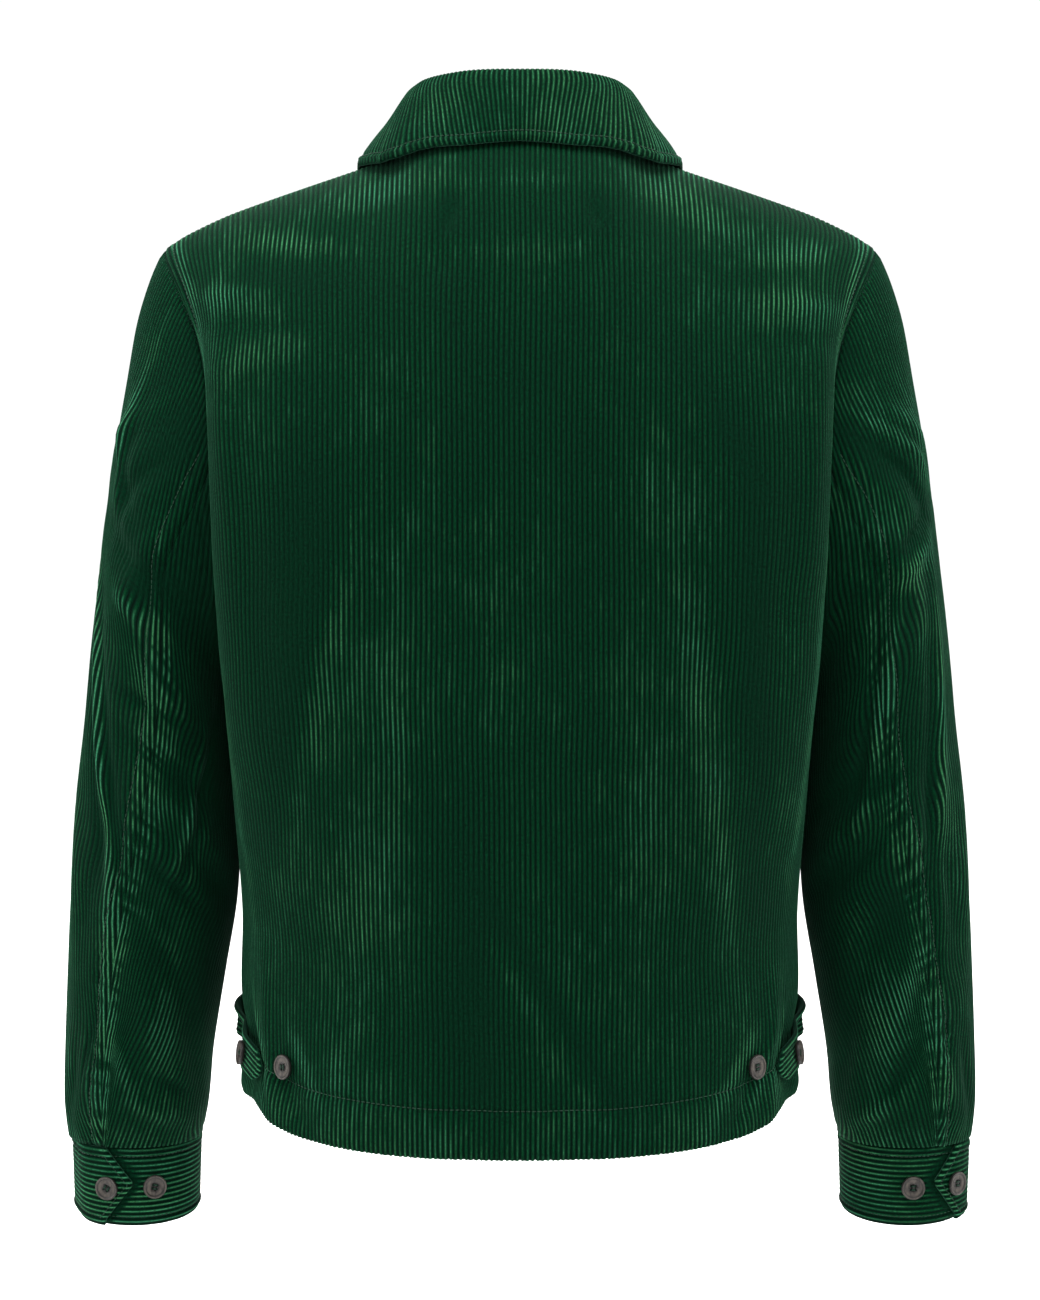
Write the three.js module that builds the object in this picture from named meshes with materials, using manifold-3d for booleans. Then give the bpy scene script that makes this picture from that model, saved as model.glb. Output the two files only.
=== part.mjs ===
// A waist-length corduroy jacket, hollow and filled out as if it were worn, standing clear of any wearer.
// Millimetres. +X is the wearer's right, +Y the wearer's front, +Z up.
// The origin is the middle of the neck opening, level with the points where the shoulders meet the collar.
//
// The body is one ring of cloth, worked out from horizontal sections and closed over the shoulders by curves
// that run up each rib of the corduroy. It is cut into a back and two fronts along the side seams, the
// armholes, the shoulder seams and the neckline. Each sleeve is a tube that leaves the armhole and is cut into
// a top sleeve and an under sleeve. Every panel is a wall of cloth: its outer points are worked out first and
// its inner points are the same ones moved in by the thickness.

import * as THREE from 'three';
import { mergeVertices } from 'three/addons/utils/BufferGeometryUtils.js';
import Module from 'manifold-3d';

const wasm = await Module();
wasm.setup();

// Cloth and seams
const CLOTH = 1.8;
const DOUBLED_CLOTH = 3.0;
const HEM_TURN_UP = 33;
const HEM_EXTRA = 1.2;
const SEAM_GAP = 0.3;
const LAYER_GAP = 0.35;

// Body
const ARMPIT_Z = -305;
const SHOULDER_TIP_Z = -61;
const HEM_Z = -600;
const HEM_TILT = 0.135;
const HEM_RISE = { s: 202, width: 28, height: 6 };
const NECK_HALF_WIDTH = 78;
const NECK_BACK_DEPTH = 60;
const NECK_FRONT_DEPTH = 88;
const NECK_BACK_RISE = 18;
const NECK_FRONT_DROP = 62;
const SHOULDER_HALF_WIDTH = 228;
const STRAIGHT_SHARE = 0.22;
const FRONT_OVERLAP = 18;

// Sleeves and cuffs
const SLEEVE_END_Z = -657;
const CUFF_TOP_Z = -657.4;
const CUFF_HEIGHT = 49;
const CUFF_HALF_WIDTH = 44;
const CUFF_HALF_DEPTH = 42;
const CUFF_CENTRE_X = 259;
const CUFF_CENTRE_Y = 59;
const CUFF_TILT = Math.tan((7 * Math.PI) / 180);
const CUFF_POINT = 27;
const CUFF_UNDERLAP = 36;
const CUFF_RAMP = 34;
const SLIT_LENGTH = 66;
const SLIT_GAP = 1.4;

// Collar
const COLLAR_CLOTH = 3.0;
const COLLAR_ROLL = 5.2;
const COLLAR_END_ANGLE = 176.5;

// Buttons
const BUTTON_RADIUS = 8;
const BUTTON_THICKNESS = 2.8;
const BUTTON_HOLE_RADIUS = 0.95;
const BUTTON_HOLE_SPACING = 1.75;
const BUTTON_STAND = 0.5;

// Side tabs
const TAB_CLOTH = 2.6;
const TAB_WIDTH = 23;
const TAB_BULGE = 8;

const GREEN = { color: 0x0c4a2b, roughness: 0.85, metalness: 0 };
const GREEN_DARK = { color: 0x0a3f25, roughness: 0.88, metalness: 0 };
const HORN = { color: 0x5b544c, roughness: 0.42, metalness: 0 };

// Horizontal sections of the body ring. back and front are depths at the centre, wide and wideY are where the
// back is widest, side and sideY where the front begins to turn, and the curves are superellipse exponents.
const BODY_COLUMNS = ['z', 'back', 'wide', 'wideY', 'backCurve', 'side', 'sideY', 'front', 'frontCurve'];
const BODY = [
  [-640, 150, 184, -4, 2.5, 184, 4, 138, 2.1],
  [-610, 151, 184, -5, 2.5, 184, 5, 138, 2.1],
  [-590, 151, 181, -6, 2.45, 181, 6, 138, 2.1],
  [-568, 151, 177.5, -6, 2.35, 177.5, 6, 137, 2.1],
  [-540, 150, 182, -6, 2.15, 182, 6, 136, 2.1],
  [-488, 148, 181, -8, 2.05, 180.5, 6, 134, 2.15],
  [-400, 146, 184, -45, 2.25, 179, 28, 135, 2.2],
  [-338, 146, 188, -65, 2.45, 180, 38, 138, 2.25],
  [-305, 144, 190, -70, 2.6, 181, 42, 139, 2.3],
  [-212, 140, 195, -76, 3.0, 181, 46, 137, 2.4],
  [-113, 133, 201, -68, 3.0, 181, 48, 130, 2.4],
  [-60, 126, 204, -62, 3.0, 182, 46, 122, 2.4],
];

// The armhole, as cloth left out of each panel, measured from the side seam's own distance.
const ARMHOLE_COLUMNS = ['v', 'back', 'front'];
const ARMHOLE = [
  [0, 0, 0],
  [0.03, 22, 18],
  [0.08, 38, 33],
  [0.15, 49, 46],
  [0.25, 57, 58],
  [0.4, 62, 66],
  [0.6, 65, 64],
  [0.8, 67, 50],
  [1, 68, 36],
];

// Height of the shoulder line outside the neck.
const SHOULDER_COLUMNS = ['x', 'z'];
const SHOULDER = [
  [70, 2],
  [78, 0],
  [102, -9],
  [140, -22],
  [173, -33.5],
  [190, -40],
  [208, -48.5],
  [218, -54],
  [228, -61.5],
  [240, -75],
];

// The sleeve tube: its outer and inner sides, and its middle and half depth from back to front.
const SLEEVE_COLUMNS = ['z', 'outer', 'inner', 'middleY', 'halfDepth'];
const SLEEVE = [
  [-50, 216.2, 186, 0, 24],
  [-66, 227.1, 188, 0, 34],
  [-94, 239.2, 190, 1, 48],
  [-119, 246.9, 191, 3, 58],
  [-171, 257.6, 191, 6, 69],
  [-223, 266.4, 190, 9, 73],
  [-275, 273.7, 188, 12, 74],
  [-328, 280.5, 187, 15, 71],
  [-381, 285.9, 187, 18, 67],
  [-434, 291.3, 184.8, 22, 63],
  [-488, 297.2, 187.5, 30, 59],
  [-541, 301.2, 196.6, 39, 56],
  [-596, 304.9, 206, 49, 53],
  [-630, 306.6, 209.5, 55, 51],
  [-646, 305.9, 212.2, 57.5, 47],
  [-658, 304.7, 214.9, 59, 42.2],
];

// Where the seam at the back of the elbow runs, in degrees round the tube from its inner side.
const ELBOW_SEAM_COLUMNS = ['z', 'angle'];
const ELBOW_SEAM = [
  [-100, 84],
  [-270, 84],
  [-370, 88],
  [-470, 103],
  [-530, 109],
  [-660, 113],
];
const INNER_SEAM_ANGLE = 318;

// The collar by angle round the neck from the centre back: how high its roll stands over the neck seam, how far
// the roll leans out, the plan position of its outer edge, and how far that edge stands off the body.
const COLLAR_COLUMNS = ['angle', 'stand', 'lean', 'edgeX', 'edgeY', 'edgeLift'];
const COLLAR = [
  [-30, 38.4, -1, -33, -73.6, 2.4],
  [0, 35.6, 0, 0, -76, 2],
  [30, 38.4, -1, 33, -73.6, 2.4],
  [52, 40.5, -3.5, 62, -59, 4.4],
  [63, 39.8, -4.8, 77, -45, 7.4],
  [75, 38.6, -6.1, 91, -28.5, 4.8],
  [90, 34, -7, 103, -4, 1.3],
  [120, 30, -5, 104, 48, 1.3],
  [145, 26, -2, 92, 84, 1.3],
  [165, 21, 0, 66, 110, 1.3],
  [177, 18, 1, 42, 122, 1.3],
  [190, 16, 1, 10, 130, 1.3],
];

// Soft folds of the body: how far round from the centre back, height, direction in degrees from upright,
// half length, half width, and depth, which is negative for a trough.
const BODY_FOLD_COLUMNS = ['s', 'z', 'lean', 'halfLength', 'halfWidth', 'depth'];
const BACK_FOLDS = [
  [180, -572, 8, 62, 11, 3.6],
  [214, -570, 6, 58, 17, -4],
  [150, -598, 38, 34, 9, -2.4],
  [118, -330, -24, 120, 26, -3.4],
  [62, -520, 5, 90, 18, 2.4],
  [30, -560, -6, 80, 16, -2.2],
  [48, -60, 12, 16, 12, -2.6],
  [190, -170, 4, 90, 12, 2.6],
  [172, -250, 6, 130, 18, -2.4],
];
const FRONT_FOLDS = [
  [190, -570, -6, 55, 16, -3.5],
  [160, -560, -10, 60, 12, 2.5],
  [150, -250, 22, 90, 20, -3.2],
  [120, -420, 12, 110, 22, 2.6],
  [90, -520, -8, 80, 18, -2.4],
  [175, -150, -14, 60, 16, -2.8],
];

// Folds of a sleeve, by angle round it and height, with the same columns in degrees round instead of distance.
const SLEEVE_FOLD_COLUMNS = ['angle', 'z', 'lean', 'halfLength', 'halfWidth', 'depth'];
const SLEEVE_FOLDS = [
  [128, -150, -38, 60, 9, 4],
  [112, -190, -34, 62, 10, -4],
  [100, -250, -30, 60, 13, 3],
  [176, -330, 10, 90, 12, -3.5],
  [160, -420, 6, 120, 12, 3.6],
  [126, -440, -12, 80, 12, -3.2],
  [66, -400, 52, 58, 12, -4],
  [52, -440, 50, 52, 11, 3.6],
  [30, -480, 44, 48, 11, -3.4],
  [70, -520, 30, 60, 13, -3.4],
  [84, -560, 14, 50, 12, 3],
  [40, -590, 24, 44, 10, -3.6],
  [146, -610, -12, 36, 9, -3],
  [60, -632, 70, 28, 8, 3],
  [262, -420, -62, 50, 12, -4.5],
  [284, -455, -60, 46, 12, 3.6],
  [250, -360, -48, 48, 12, 3.4],
  [318, -400, -50, 46, 12, -3.6],
  [230, -560, 12, 60, 12, -3],
  [290, -600, 16, 44, 11, 3],
];

const clamp = (value, low, high) => Math.min(high, Math.max(low, value));
const lerp = (a, b, t) => a + (b - a) * t;
const smooth = (from, to, value) => {
  const t = clamp((value - from) / (to - from), 0, 1);
  return t * t * (3 - 2 * t);
};
const radians = (degrees) => (degrees * Math.PI) / 180;
const vec = (x, y, z) => new THREE.Vector3(x, y, z);

// A function that reads one named column of a table, smoothly, by the table's first column.
function reader(columns, rows, name) {
  const k = columns.indexOf(name);
  const order = rows[0][0] < rows[rows.length - 1][0] ? rows : [...rows].reverse();
  const at = order.map((row) => row[0]);
  const value = order.map((row) => row[k]);
  const last = at.length - 1;
  const slope = at.map((_, i) => {
    const low = Math.max(0, i - 1);
    const high = Math.min(last, i + 1);
    return (value[high] - value[low]) / (at[high] - at[low]);
  });
  return (x) => {
    const clamped = clamp(x, at[0], at[last]);
    let i = 0;
    while (i < last - 1 && clamped > at[i + 1]) i += 1;
    const width = at[i + 1] - at[i];
    const t = (clamped - at[i]) / width;
    const rise = value[i + 1] - value[i];
    const steepest = 3 * Math.abs(rise / width);
    const m0 = clamp(slope[i], -steepest, steepest) * width;
    const m1 = clamp(slope[i + 1], -steepest, steepest) * width;
    return value[i] + t * (m0 + t * (3 * rise - 2 * m0 - m1 + t * (m0 + m1 - 2 * rise)));
  };
}

const readers = (columns, rows) => {
  const all = {};
  for (const name of columns.slice(1)) all[name] = reader(columns, rows, name);
  return all;
};

const bodyAt = readers(BODY_COLUMNS, BODY);
const armholeAt = readers(ARMHOLE_COLUMNS, ARMHOLE);
const shoulderAt = readers(SHOULDER_COLUMNS, SHOULDER);
const sleeveAt = readers(SLEEVE_COLUMNS, SLEEVE);
const elbowSeamAt = readers(ELBOW_SEAM_COLUMNS, ELBOW_SEAM);
const collarAt = readers(COLLAR_COLUMNS, COLLAR);

// Half of the body ring at one height, from the centre back to the centre front, with the distance run so far.
const QUARTER_STEPS = 48;
const SIDE_STEPS = 10;
const sectionCache = new Map();
function bodySection(z) {
  const key = z.toFixed(2);
  if (sectionCache.has(key)) return sectionCache.get(key);
  const r = {};
  for (const name of BODY_COLUMNS.slice(1)) r[name] = bodyAt[name](z);
  const points = [];
  for (let i = 0; i <= QUARTER_STEPS; i += 1) {
    const a = (Math.PI / 2) * (i / QUARTER_STEPS) ** 1.3;
    const across = Math.sin(a) ** (2 / r.backCurve);
    const deep = Math.max(0, Math.cos(a)) ** (2 / r.backCurve);
    points.push([r.wide * across, r.wideY - (r.back + r.wideY) * deep]);
  }
  for (let i = 1; i < SIDE_STEPS; i += 1) {
    const t = i / SIDE_STEPS;
    points.push([lerp(r.wide, r.side, smooth(0, 1, t)), lerp(r.wideY, r.sideY, t)]);
  }
  for (let i = QUARTER_STEPS; i >= 0; i -= 1) {
    const a = (Math.PI / 2) * (i / QUARTER_STEPS) ** 1.3;
    const across = Math.sin(a) ** (2 / r.frontCurve);
    const deep = Math.max(0, Math.cos(a)) ** (2 / r.frontCurve);
    points.push([r.side * across, r.sideY + (r.front - r.sideY) * deep]);
  }
  const run = [0];
  for (let i = 1; i < points.length; i += 1) {
    run.push(run[i - 1] + Math.hypot(points[i][0] - points[i - 1][0], points[i][1] - points[i - 1][1]));
  }
  const section = { points, run, total: run[run.length - 1] };
  const i = points.findIndex((p) => p[1] >= 0);
  const t = -points[i - 1][1] / (points[i][1] - points[i - 1][1]);
  section.seam = lerp(run[i - 1], run[i], t);
  sectionCache.set(key, section);
  return section;
}

function sectionPoint(section, distance) {
  const s = clamp(distance, 0, section.total);
  const { run, points } = section;
  let low = 0;
  let high = run.length - 1;
  while (high - low > 1) {
    const middle = (low + high) >> 1;
    if (run[middle] <= s) low = middle;
    else high = middle;
  }
  const t = (s - run[low]) / (run[high] - run[low]);
  return [lerp(points[low][0], points[high][0], t), lerp(points[low][1], points[high][1], t)];
}

// Rows of the body: v is -1 at the hem, 0 at the armpit and 1 at the shoulder seam or the neckline.
const rowHeight = (v) => (v <= 0 ? lerp(ARMPIT_Z, HEM_Z, -v) : lerp(ARMPIT_Z, SHOULDER_TIP_Z, v));
const armpitSection = bodySection(ARMPIT_Z);

const PANELS = {
  back: {
    sign: -1,
    distance: (section, s) => s,
    armpitWidth: armpitSection.seam,
    neckDepth: NECK_BACK_DEPTH,
    neckRise: NECK_BACK_RISE,
    neckSlope: 36,
    leanFrom: 0.5,
    armhole: armholeAt.back,
    folds: BACK_FOLDS,
  },
  front: {
    sign: 1,
    distance: (section, s) => section.total - s,
    armpitWidth: armpitSection.total - armpitSection.seam,
    neckDepth: NECK_FRONT_DEPTH,
    neckRise: -NECK_FRONT_DROP,
    neckSlope: 46,
    leanFrom: 0.35,
    armhole: armholeAt.front,
    folds: FRONT_FOLDS,
  },
};

// Distance from the centre line to the panel's side edge: the side seam below the armpit, the armhole above.
function panelEdge(panel, v) {
  if (v > 0) return panel.armpitWidth - panel.armhole(v);
  const section = bodySection(rowHeight(v));
  return panel.distance(section, section.seam);
}

const SHOULDER_SLOPE_DROP = 14;
const NECK_SOFTNESS = 70;

// The tab's pull lifts the hem a little at the corners of the back.
function hemRise(panel, away, v) {
  const beside = (away - HEM_RISE.s) / HEM_RISE.width;
  return panel.sign < 0 ? HEM_RISE.height * Math.exp(-beside * beside) * smooth(-0.72, -1, v) : 0;
}

// A point of the body ring's outer face, on the wearer's right, by distance from the centre line and by row.
function bodyPoint(panel, s, v) {
  const away = Math.abs(s);
  const section = bodySection(rowHeight(v));
  const [sx, sy] = sectionPoint(section, panel.distance(section, away));
  const side = Math.sign(s) || 1;
  if (v <= 0) return vec(side * sx, sy, rowHeight(v) - HEM_TILT * v * sy + hemRise(panel, away, v));
  const topX = (away * SHOULDER_HALF_WIDTH) / panelEdge(panel, 1);
  const across = clamp(topX / NECK_HALF_WIDTH, 0, 1);
  const neck = Math.sqrt(1 - across * across);
  const inNeck = topX < NECK_HALF_WIDTH;
  // The corner where the back's neckline meets the shoulder is rounded off further down the cloth.
  const softness = panel.sign < 0 ? (1 - v) * NECK_SOFTNESS : 0;
  let round = 0;
  for (let k = -3; k <= 3; k += 1) {
    const beside = clamp((topX + (k / 3) * softness) / NECK_HALF_WIDTH, 0, 1);
    round += Math.sqrt(1 - beside * beside) / 7;
  }
  const topY = panel.sign * panel.neckDepth * round;
  const topZ = inNeck ? panel.neckRise * neck * neck : shoulderAt.z(topX);
  const controlZ = topZ - lerp(panel.neckSlope, SHOULDER_SLOPE_DROP, smooth(0, 1, across));
  const lowZ = lerp(ARMPIT_Z, topZ, STRAIGHT_SHARE);
  const x = lerp(sx, topX, smooth(panel.leanFrom, 1, v));
  if (v < STRAIGHT_SHARE) return vec(side * x, sy, lerp(ARMPIT_Z, lowZ, v / STRAIGHT_SHARE));
  const t = (v - STRAIGHT_SHARE) / (1 - STRAIGHT_SHARE);
  const y = lerp(sy, topY, t * t);
  const z = (1 - t) ** 2 * lowZ + 2 * t * (1 - t) * controlZ + t * t * topZ;
  return vec(side * x, y, z);
}

// The outward direction at a point of a surface, from two small steps along it.
function surfaceNormal(pointAt, a, b, stepA, stepB, outward) {
  const alongA = pointAt(a + stepA, b).sub(pointAt(a - stepA, b));
  const alongB = pointAt(a, b + stepB).sub(pointAt(a, b - stepB));
  const normal = alongA.cross(alongB).normalize();
  return normal.dot(outward) < 0 ? normal.negate() : normal;
}

// Sum of the soft folds at a place, each a ridge or trough that fades at its ends and sides.
function foldDepth(folds, across, z) {
  let depth = 0;
  for (const [at, height, lean, halfLength, halfWidth, deep] of folds) {
    const dx = across - at;
    const dz = z - height;
    const c = Math.cos(radians(lean));
    const k = Math.sin(radians(lean));
    const along = (dz * c + dx * k) / halfLength;
    const beside = (dx * c - dz * k) / halfWidth;
    depth += deep * Math.exp(-along * along * 1.4 - beside * beside * 1.4);
  }
  return depth;
}

function bodyNormal(panel, s, v) {
  const middle = vec(0, 0, 0);
  const here = bodyPoint(panel, s, v);
  const up = v > 0 ? v : 0;
  const outward = here.clone().sub(middle.set(0, 0, here.z)).normalize().add(vec(0, 0, 1.2 * up * up));
  const row = clamp(v, -0.995, 0.995);
  return surfaceNormal((a, b) => bodyPoint(panel, a, b), s, row, 0.6, 0.004, outward);
}

// The finished outer face: the plain ring with its folds, and lifted by any layer under it.
function bodyFace(panel, s, v, lift = 0) {
  const point = bodyPoint(panel, s, v);
  const normal = bodyNormal(panel, s, v);
  const fade = 1 - smooth(0.93, 1, v);
  return point.addScaledVector(normal, foldDepth(panel.folds, Math.abs(s), point.z) * fade + lift);
}

// The middle of the armhole, towards which the seam edges of the body and the sleeve are both thickened.
const ARMHOLE_MIDDLE = vec(196, 0, -185);
const towardsArmhole = (point) => {
  const middle = ARMHOLE_MIDDLE.clone();
  middle.x *= Math.sign(point.x) || 1;
  return middle.sub(point).normalize();
};

// A closed wall from a grid of outer points and the matching inner points.
function wallGeometry(outer, inner) {
  const rows = outer.length;
  const columns = outer[0].length;
  const positions = [];
  for (const grid of [outer, inner]) for (const row of grid) for (const p of row) positions.push(p.x, p.y, p.z);
  const id = (layer, r, c) => layer * rows * columns + r * columns + c;
  const triangles = [];
  const quad = (a, b, c, d) => triangles.push(a, b, c, a, c, d);
  for (let r = 0; r < rows - 1; r += 1) {
    for (let c = 0; c < columns - 1; c += 1) {
      const down = outer[r][c].distanceTo(outer[r + 1][c + 1]);
      const up = outer[r + 1][c].distanceTo(outer[r][c + 1]);
      const corners = [[r, c], [r, c + 1], [r + 1, c + 1], [r + 1, c]];
      if (up < down - 1e-4) corners.push(corners.shift());
      const [front, rear] = [0, 1].map((layer) => corners.map(([row, column]) => id(layer, row, column)));
      quad(...front);
      quad(rear[0], rear[3], rear[2], rear[1]);
    }
  }
  for (let c = 0; c < columns - 1; c += 1) {
    quad(id(1, 0, c), id(1, 0, c + 1), id(0, 0, c + 1), id(0, 0, c));
    quad(id(0, rows - 1, c), id(0, rows - 1, c + 1), id(1, rows - 1, c + 1), id(1, rows - 1, c));
  }
  for (let r = 0; r < rows - 1; r += 1) {
    quad(id(0, r, 0), id(0, r + 1, 0), id(1, r + 1, 0), id(1, r, 0));
    quad(id(1, r, columns - 1), id(1, r + 1, columns - 1), id(0, r + 1, columns - 1), id(0, r, columns - 1));
  }
  return closedGeometry(positions, triangles);
}

// A geometry whose faces point out, whichever way round its triangles were written.
function closedGeometry(positions, triangles) {
  let volume = 0;
  const corner = (i) => vec(positions[3 * i], positions[3 * i + 1], positions[3 * i + 2]);
  for (let i = 0; i < triangles.length; i += 3) {
    const a = corner(triangles[i]);
    volume += a.dot(corner(triangles[i + 1]).cross(corner(triangles[i + 2])));
  }
  if (volume < 0) {
    for (let i = 0; i < triangles.length; i += 3) {
      [triangles[i + 1], triangles[i + 2]] = [triangles[i + 2], triangles[i + 1]];
    }
  }
  const geometry = new THREE.BufferGeometry();
  geometry.setAttribute('position', new THREE.Float32BufferAttribute(positions, 3));
  geometry.setIndex(triangles);
  geometry.computeVertexNormals();
  return geometry;
}

const jacket = new THREE.Group();
jacket.name = 'corduroy_jacket';

function addMesh(name, geometry, finish) {
  const mesh = new THREE.Mesh(geometry, new THREE.MeshStandardMaterial(finish));
  mesh.name = name;
  jacket.add(mesh);
  return mesh;
}

// Rows closer together at the hem's turn-up, where the cloth is doubled.
const HEM_ROW = -1 + HEM_TURN_UP / (ARMPIT_Z - HEM_Z);
const BODY_ROWS = [-1, HEM_ROW, HEM_ROW + 0.012];
for (const v of [-0.82, -0.74, -0.66, -0.56, -0.46, -0.36, -0.25, -0.13, 0]) BODY_ROWS.push(v);
for (const v of [0.05, 0.11, 0.19, 0.28, 0.38, 0.49, 0.6, 0.71, 0.81, 0.9, 0.96, 1]) BODY_ROWS.push(v);

// Builds one body panel between two distances from the centre line, given as functions of the row.
function bodyPanel(panel, columnsAt, liftAt, hemExtra) {
  const outer = [];
  const inner = [];
  for (const v of BODY_ROWS) {
    const outerRow = [];
    const innerRow = [];
    for (const { s, atEdge } of columnsAt(v)) {
      const lift = liftAt(s);
      const row = v === 1 ? 1 - SEAM_GAP / 2 / 220 : v;
      const point = bodyFace(panel, s, row, lift);
      const normal = bodyNormal(panel, s, v);
      let inward = normal.negate();
      const topX = (Math.abs(s) * SHOULDER_HALF_WIDTH) / panelEdge(panel, 1);
      if (v === 1 && topX >= NECK_HALF_WIDTH) inward.setY(0).normalize();
      if (atEdge && v >= 0) inward = towardsArmhole(point);
      const thickness = CLOTH + (v <= HEM_ROW ? hemExtra(s) : 0);
      outerRow.push(point);
      innerRow.push(point.clone().addScaledVector(inward, thickness));
    }
    outer.push(outerRow);
    inner.push(innerRow);
  }
  return wallGeometry(outer, inner);
}

// Shares of the width from the centre line, closer together where the panel turns round the side.
const BACK_SHARES = [0, 0.11, 0.22, 0.33, 0.43, 0.52, 0.6, 0.67, 0.735, 0.79, 0.84, 0.885, 0.925, 0.965, 1];
const FRONT_SHARES = [0.08, 0.2, 0.32, 0.43, 0.54, 0.64, 0.73, 0.81, 0.88, 0.94, 1];

function buildBack() {
  const panel = PANELS.back;
  const columns = (v) => {
    const edge = panelEdge(panel, v) - SEAM_GAP / 2;
    const right = BACK_SHARES.map((share) => ({ s: share * edge, atEdge: share === 1 }));
    const left = right.slice(1).reverse().map(({ s, atEdge }) => ({ s: -s, atEdge }));
    return [...left, ...right];
  };
  addMesh('back', bodyPanel(panel, columns, () => 0, () => HEM_EXTRA), GREEN);
}

// side is 1 for the wearer's right front, which lies under, and -1 for the left front, which lies over it.
const OVERLAP_LIFT = CLOTH + LAYER_GAP;
function frontLift(side, s) {
  const towardsEdge = s * side;
  return side < 0 ? OVERLAP_LIFT * (1 - smooth(20, 34, towardsEdge)) : 0;
}

function buildFront(name, side) {
  const panel = PANELS.front;
  const columns = (v) => {
    const edge = panelEdge(panel, v) - SEAM_GAP / 2;
    const near = [-FRONT_OVERLAP, 0, FRONT_OVERLAP + 1.5];
    const far = FRONT_SHARES.slice(1).map((share) => ({ s: side * lerp(34, edge, (share - 0.08) / 0.92), atEdge: share === 1 }));
    return [...near.map((s) => ({ s: side * s, atEdge: false })), { s: side * 34, atEdge: false }, ...far];
  };
  const hemExtra = (s) => (side < 0 ? HEM_EXTRA * smooth(20, 34, s * side) : HEM_EXTRA);
  addMesh(name, bodyPanel(panel, columns, (s) => frontLift(side, s), hemExtra), GREEN);
}

// The armhole of the wearer's right side as a loop through the edge points of the body panels, from the armpit
// up the back to the shoulder and down the front. Turns run from 0 at the armpit to 0.5 at the shoulder to 1.
const ARMHOLE_ROWS = BODY_ROWS.filter((v) => v >= 0);
function armholeHalf(panel) {
  const points = ARMHOLE_ROWS.map((v) => bodyFace(panel, panelEdge(panel, v) - SEAM_GAP / 2, v));
  const run = [0];
  for (let i = 1; i < points.length; i += 1) run.push(run[i - 1] + points[i].distanceTo(points[i - 1]));
  return { points, share: run.map((r) => r / run[run.length - 1] / 2) };
}

function armholeLoop() {
  const back = armholeHalf(PANELS.back);
  const front = armholeHalf(PANELS.front);
  const last = ARMHOLE_ROWS.length - 1;
  for (const i of [0, last]) {
    const middle = back.points[i].clone().lerp(front.points[i], 0.5);
    back.points[i] = middle;
    front.points[i] = middle;
  }
  const turns = [...back.share, ...front.share.map((share) => 1 - share).reverse().slice(1)];
  const points = [...back.points, ...[...front.points].reverse().slice(1)];
  const pointAt = (turn) => {
    const around = turn - Math.floor(turn);
    let i = 0;
    while (i < turns.length - 2 && turns[i + 1] <= around) i += 1;
    return points[i].clone().lerp(points[i + 1], (around - turns[i]) / (turns[i + 1] - turns[i]));
  };
  return { turns, pointAt };
}
const armhole = armholeLoop();
const armholePoint = armhole.pointAt;

// A point of the sleeve's own edge, a seam's gap away from the body's edge.
function sleeveStart(turn) {
  const point = armholePoint(turn);
  const along = armholePoint(turn + 0.01).sub(armholePoint(turn - 0.01));
  const away = along.cross(towardsArmhole(point)).normalize();
  return point.addScaledVector(away, SEAM_GAP * Math.sign(away.x));
}

// The sleeve tube of the right side, by turn round it (0 inner, 0.25 back, 0.5 outer, 0.75 front) and height.
const SLEEVE_CURVE = 2.15;
function tubePoint(turn, z) {
  const a = turn * 2 * Math.PI;
  const outer = sleeveAt.outer(z);
  const inner = sleeveAt.inner(z);
  const c = Math.cos(a);
  const k = Math.sin(a);
  const x = (outer + inner) / 2 - ((outer - inner) / 2) * Math.sign(c) * Math.abs(c) ** (2 / SLEEVE_CURVE);
  const y = sleeveAt.middleY(z) - sleeveAt.halfDepth(z) * Math.sign(k) * Math.abs(k) ** (2 / SLEEVE_CURVE);
  return vec(x, y, z);
}

// A point of the sleeve's outer face by turn and by share of the way from the armhole to the cuff.
const CAP_BLEND = 0.17;
function sleevePoint(turn, down) {
  const start = sleeveStart(turn);
  const z = lerp(start.z, SLEEVE_END_Z, down);
  const away = tubePoint(turn, start.z).sub(start);
  return tubePoint(turn, z).addScaledVector(away, -(1 - smooth(0, CAP_BLEND, down)));
}

// Folds are weaker on the side of the sleeve that hangs beside the body.
const INNER_FADE_DEGREES = 42;
function sleeveFace(turn, down) {
  const point = sleevePoint(turn, down);
  const normal = sleeveNormal(turn, down);
  const ends = smooth(0.05, 0.16, down) * (1 - smooth(0.965, 1, down));
  const angle = (((turn % 1) + 1) % 1) * 360;
  const fromInner = Math.min(angle, 360 - angle) / INNER_FADE_DEGREES;
  const clearOfBody = 1 - 0.75 * Math.exp(-fromInner * fromInner);
  return point.addScaledVector(normal, foldDepth(SLEEVE_FOLDS, angle, point.z) * ends * clearOfBody);
}

function sleeveNormal(turn, down) {
  const at = clamp(down, 0.004, 0.996);
  const here = sleevePoint(turn, at);
  const middle = vec((sleeveAt.outer(here.z) + sleeveAt.inner(here.z)) / 2, sleeveAt.middleY(here.z), here.z);
  return surfaceNormal(sleevePoint, turn, at, 0.002, 0.003, here.sub(middle).normalize());
}

const SLEEVE_ROWS = 22;
const ELBOW_SEAM_START = armhole.turns[ARMHOLE_ROWS.indexOf(0.38)];
const INNER_SEAM_START = armhole.turns[armhole.turns.length - 1 - ARMHOLE_ROWS.indexOf(0.19)];

// The two seams of a sleeve at one share of its length, in turns.
function seamTurns(down) {
  let elbow = 0.25;
  for (let i = 0; i < 6; i += 1) elbow = elbowSeamAt.angle(sleevePoint(elbow, down).z) / 360;
  const share = smooth(0, 0.3, down);
  return { elbow: lerp(ELBOW_SEAM_START, elbow, share), inner: lerp(INNER_SEAM_START, INNER_SEAM_ANGLE / 360, share) };
}

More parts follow.
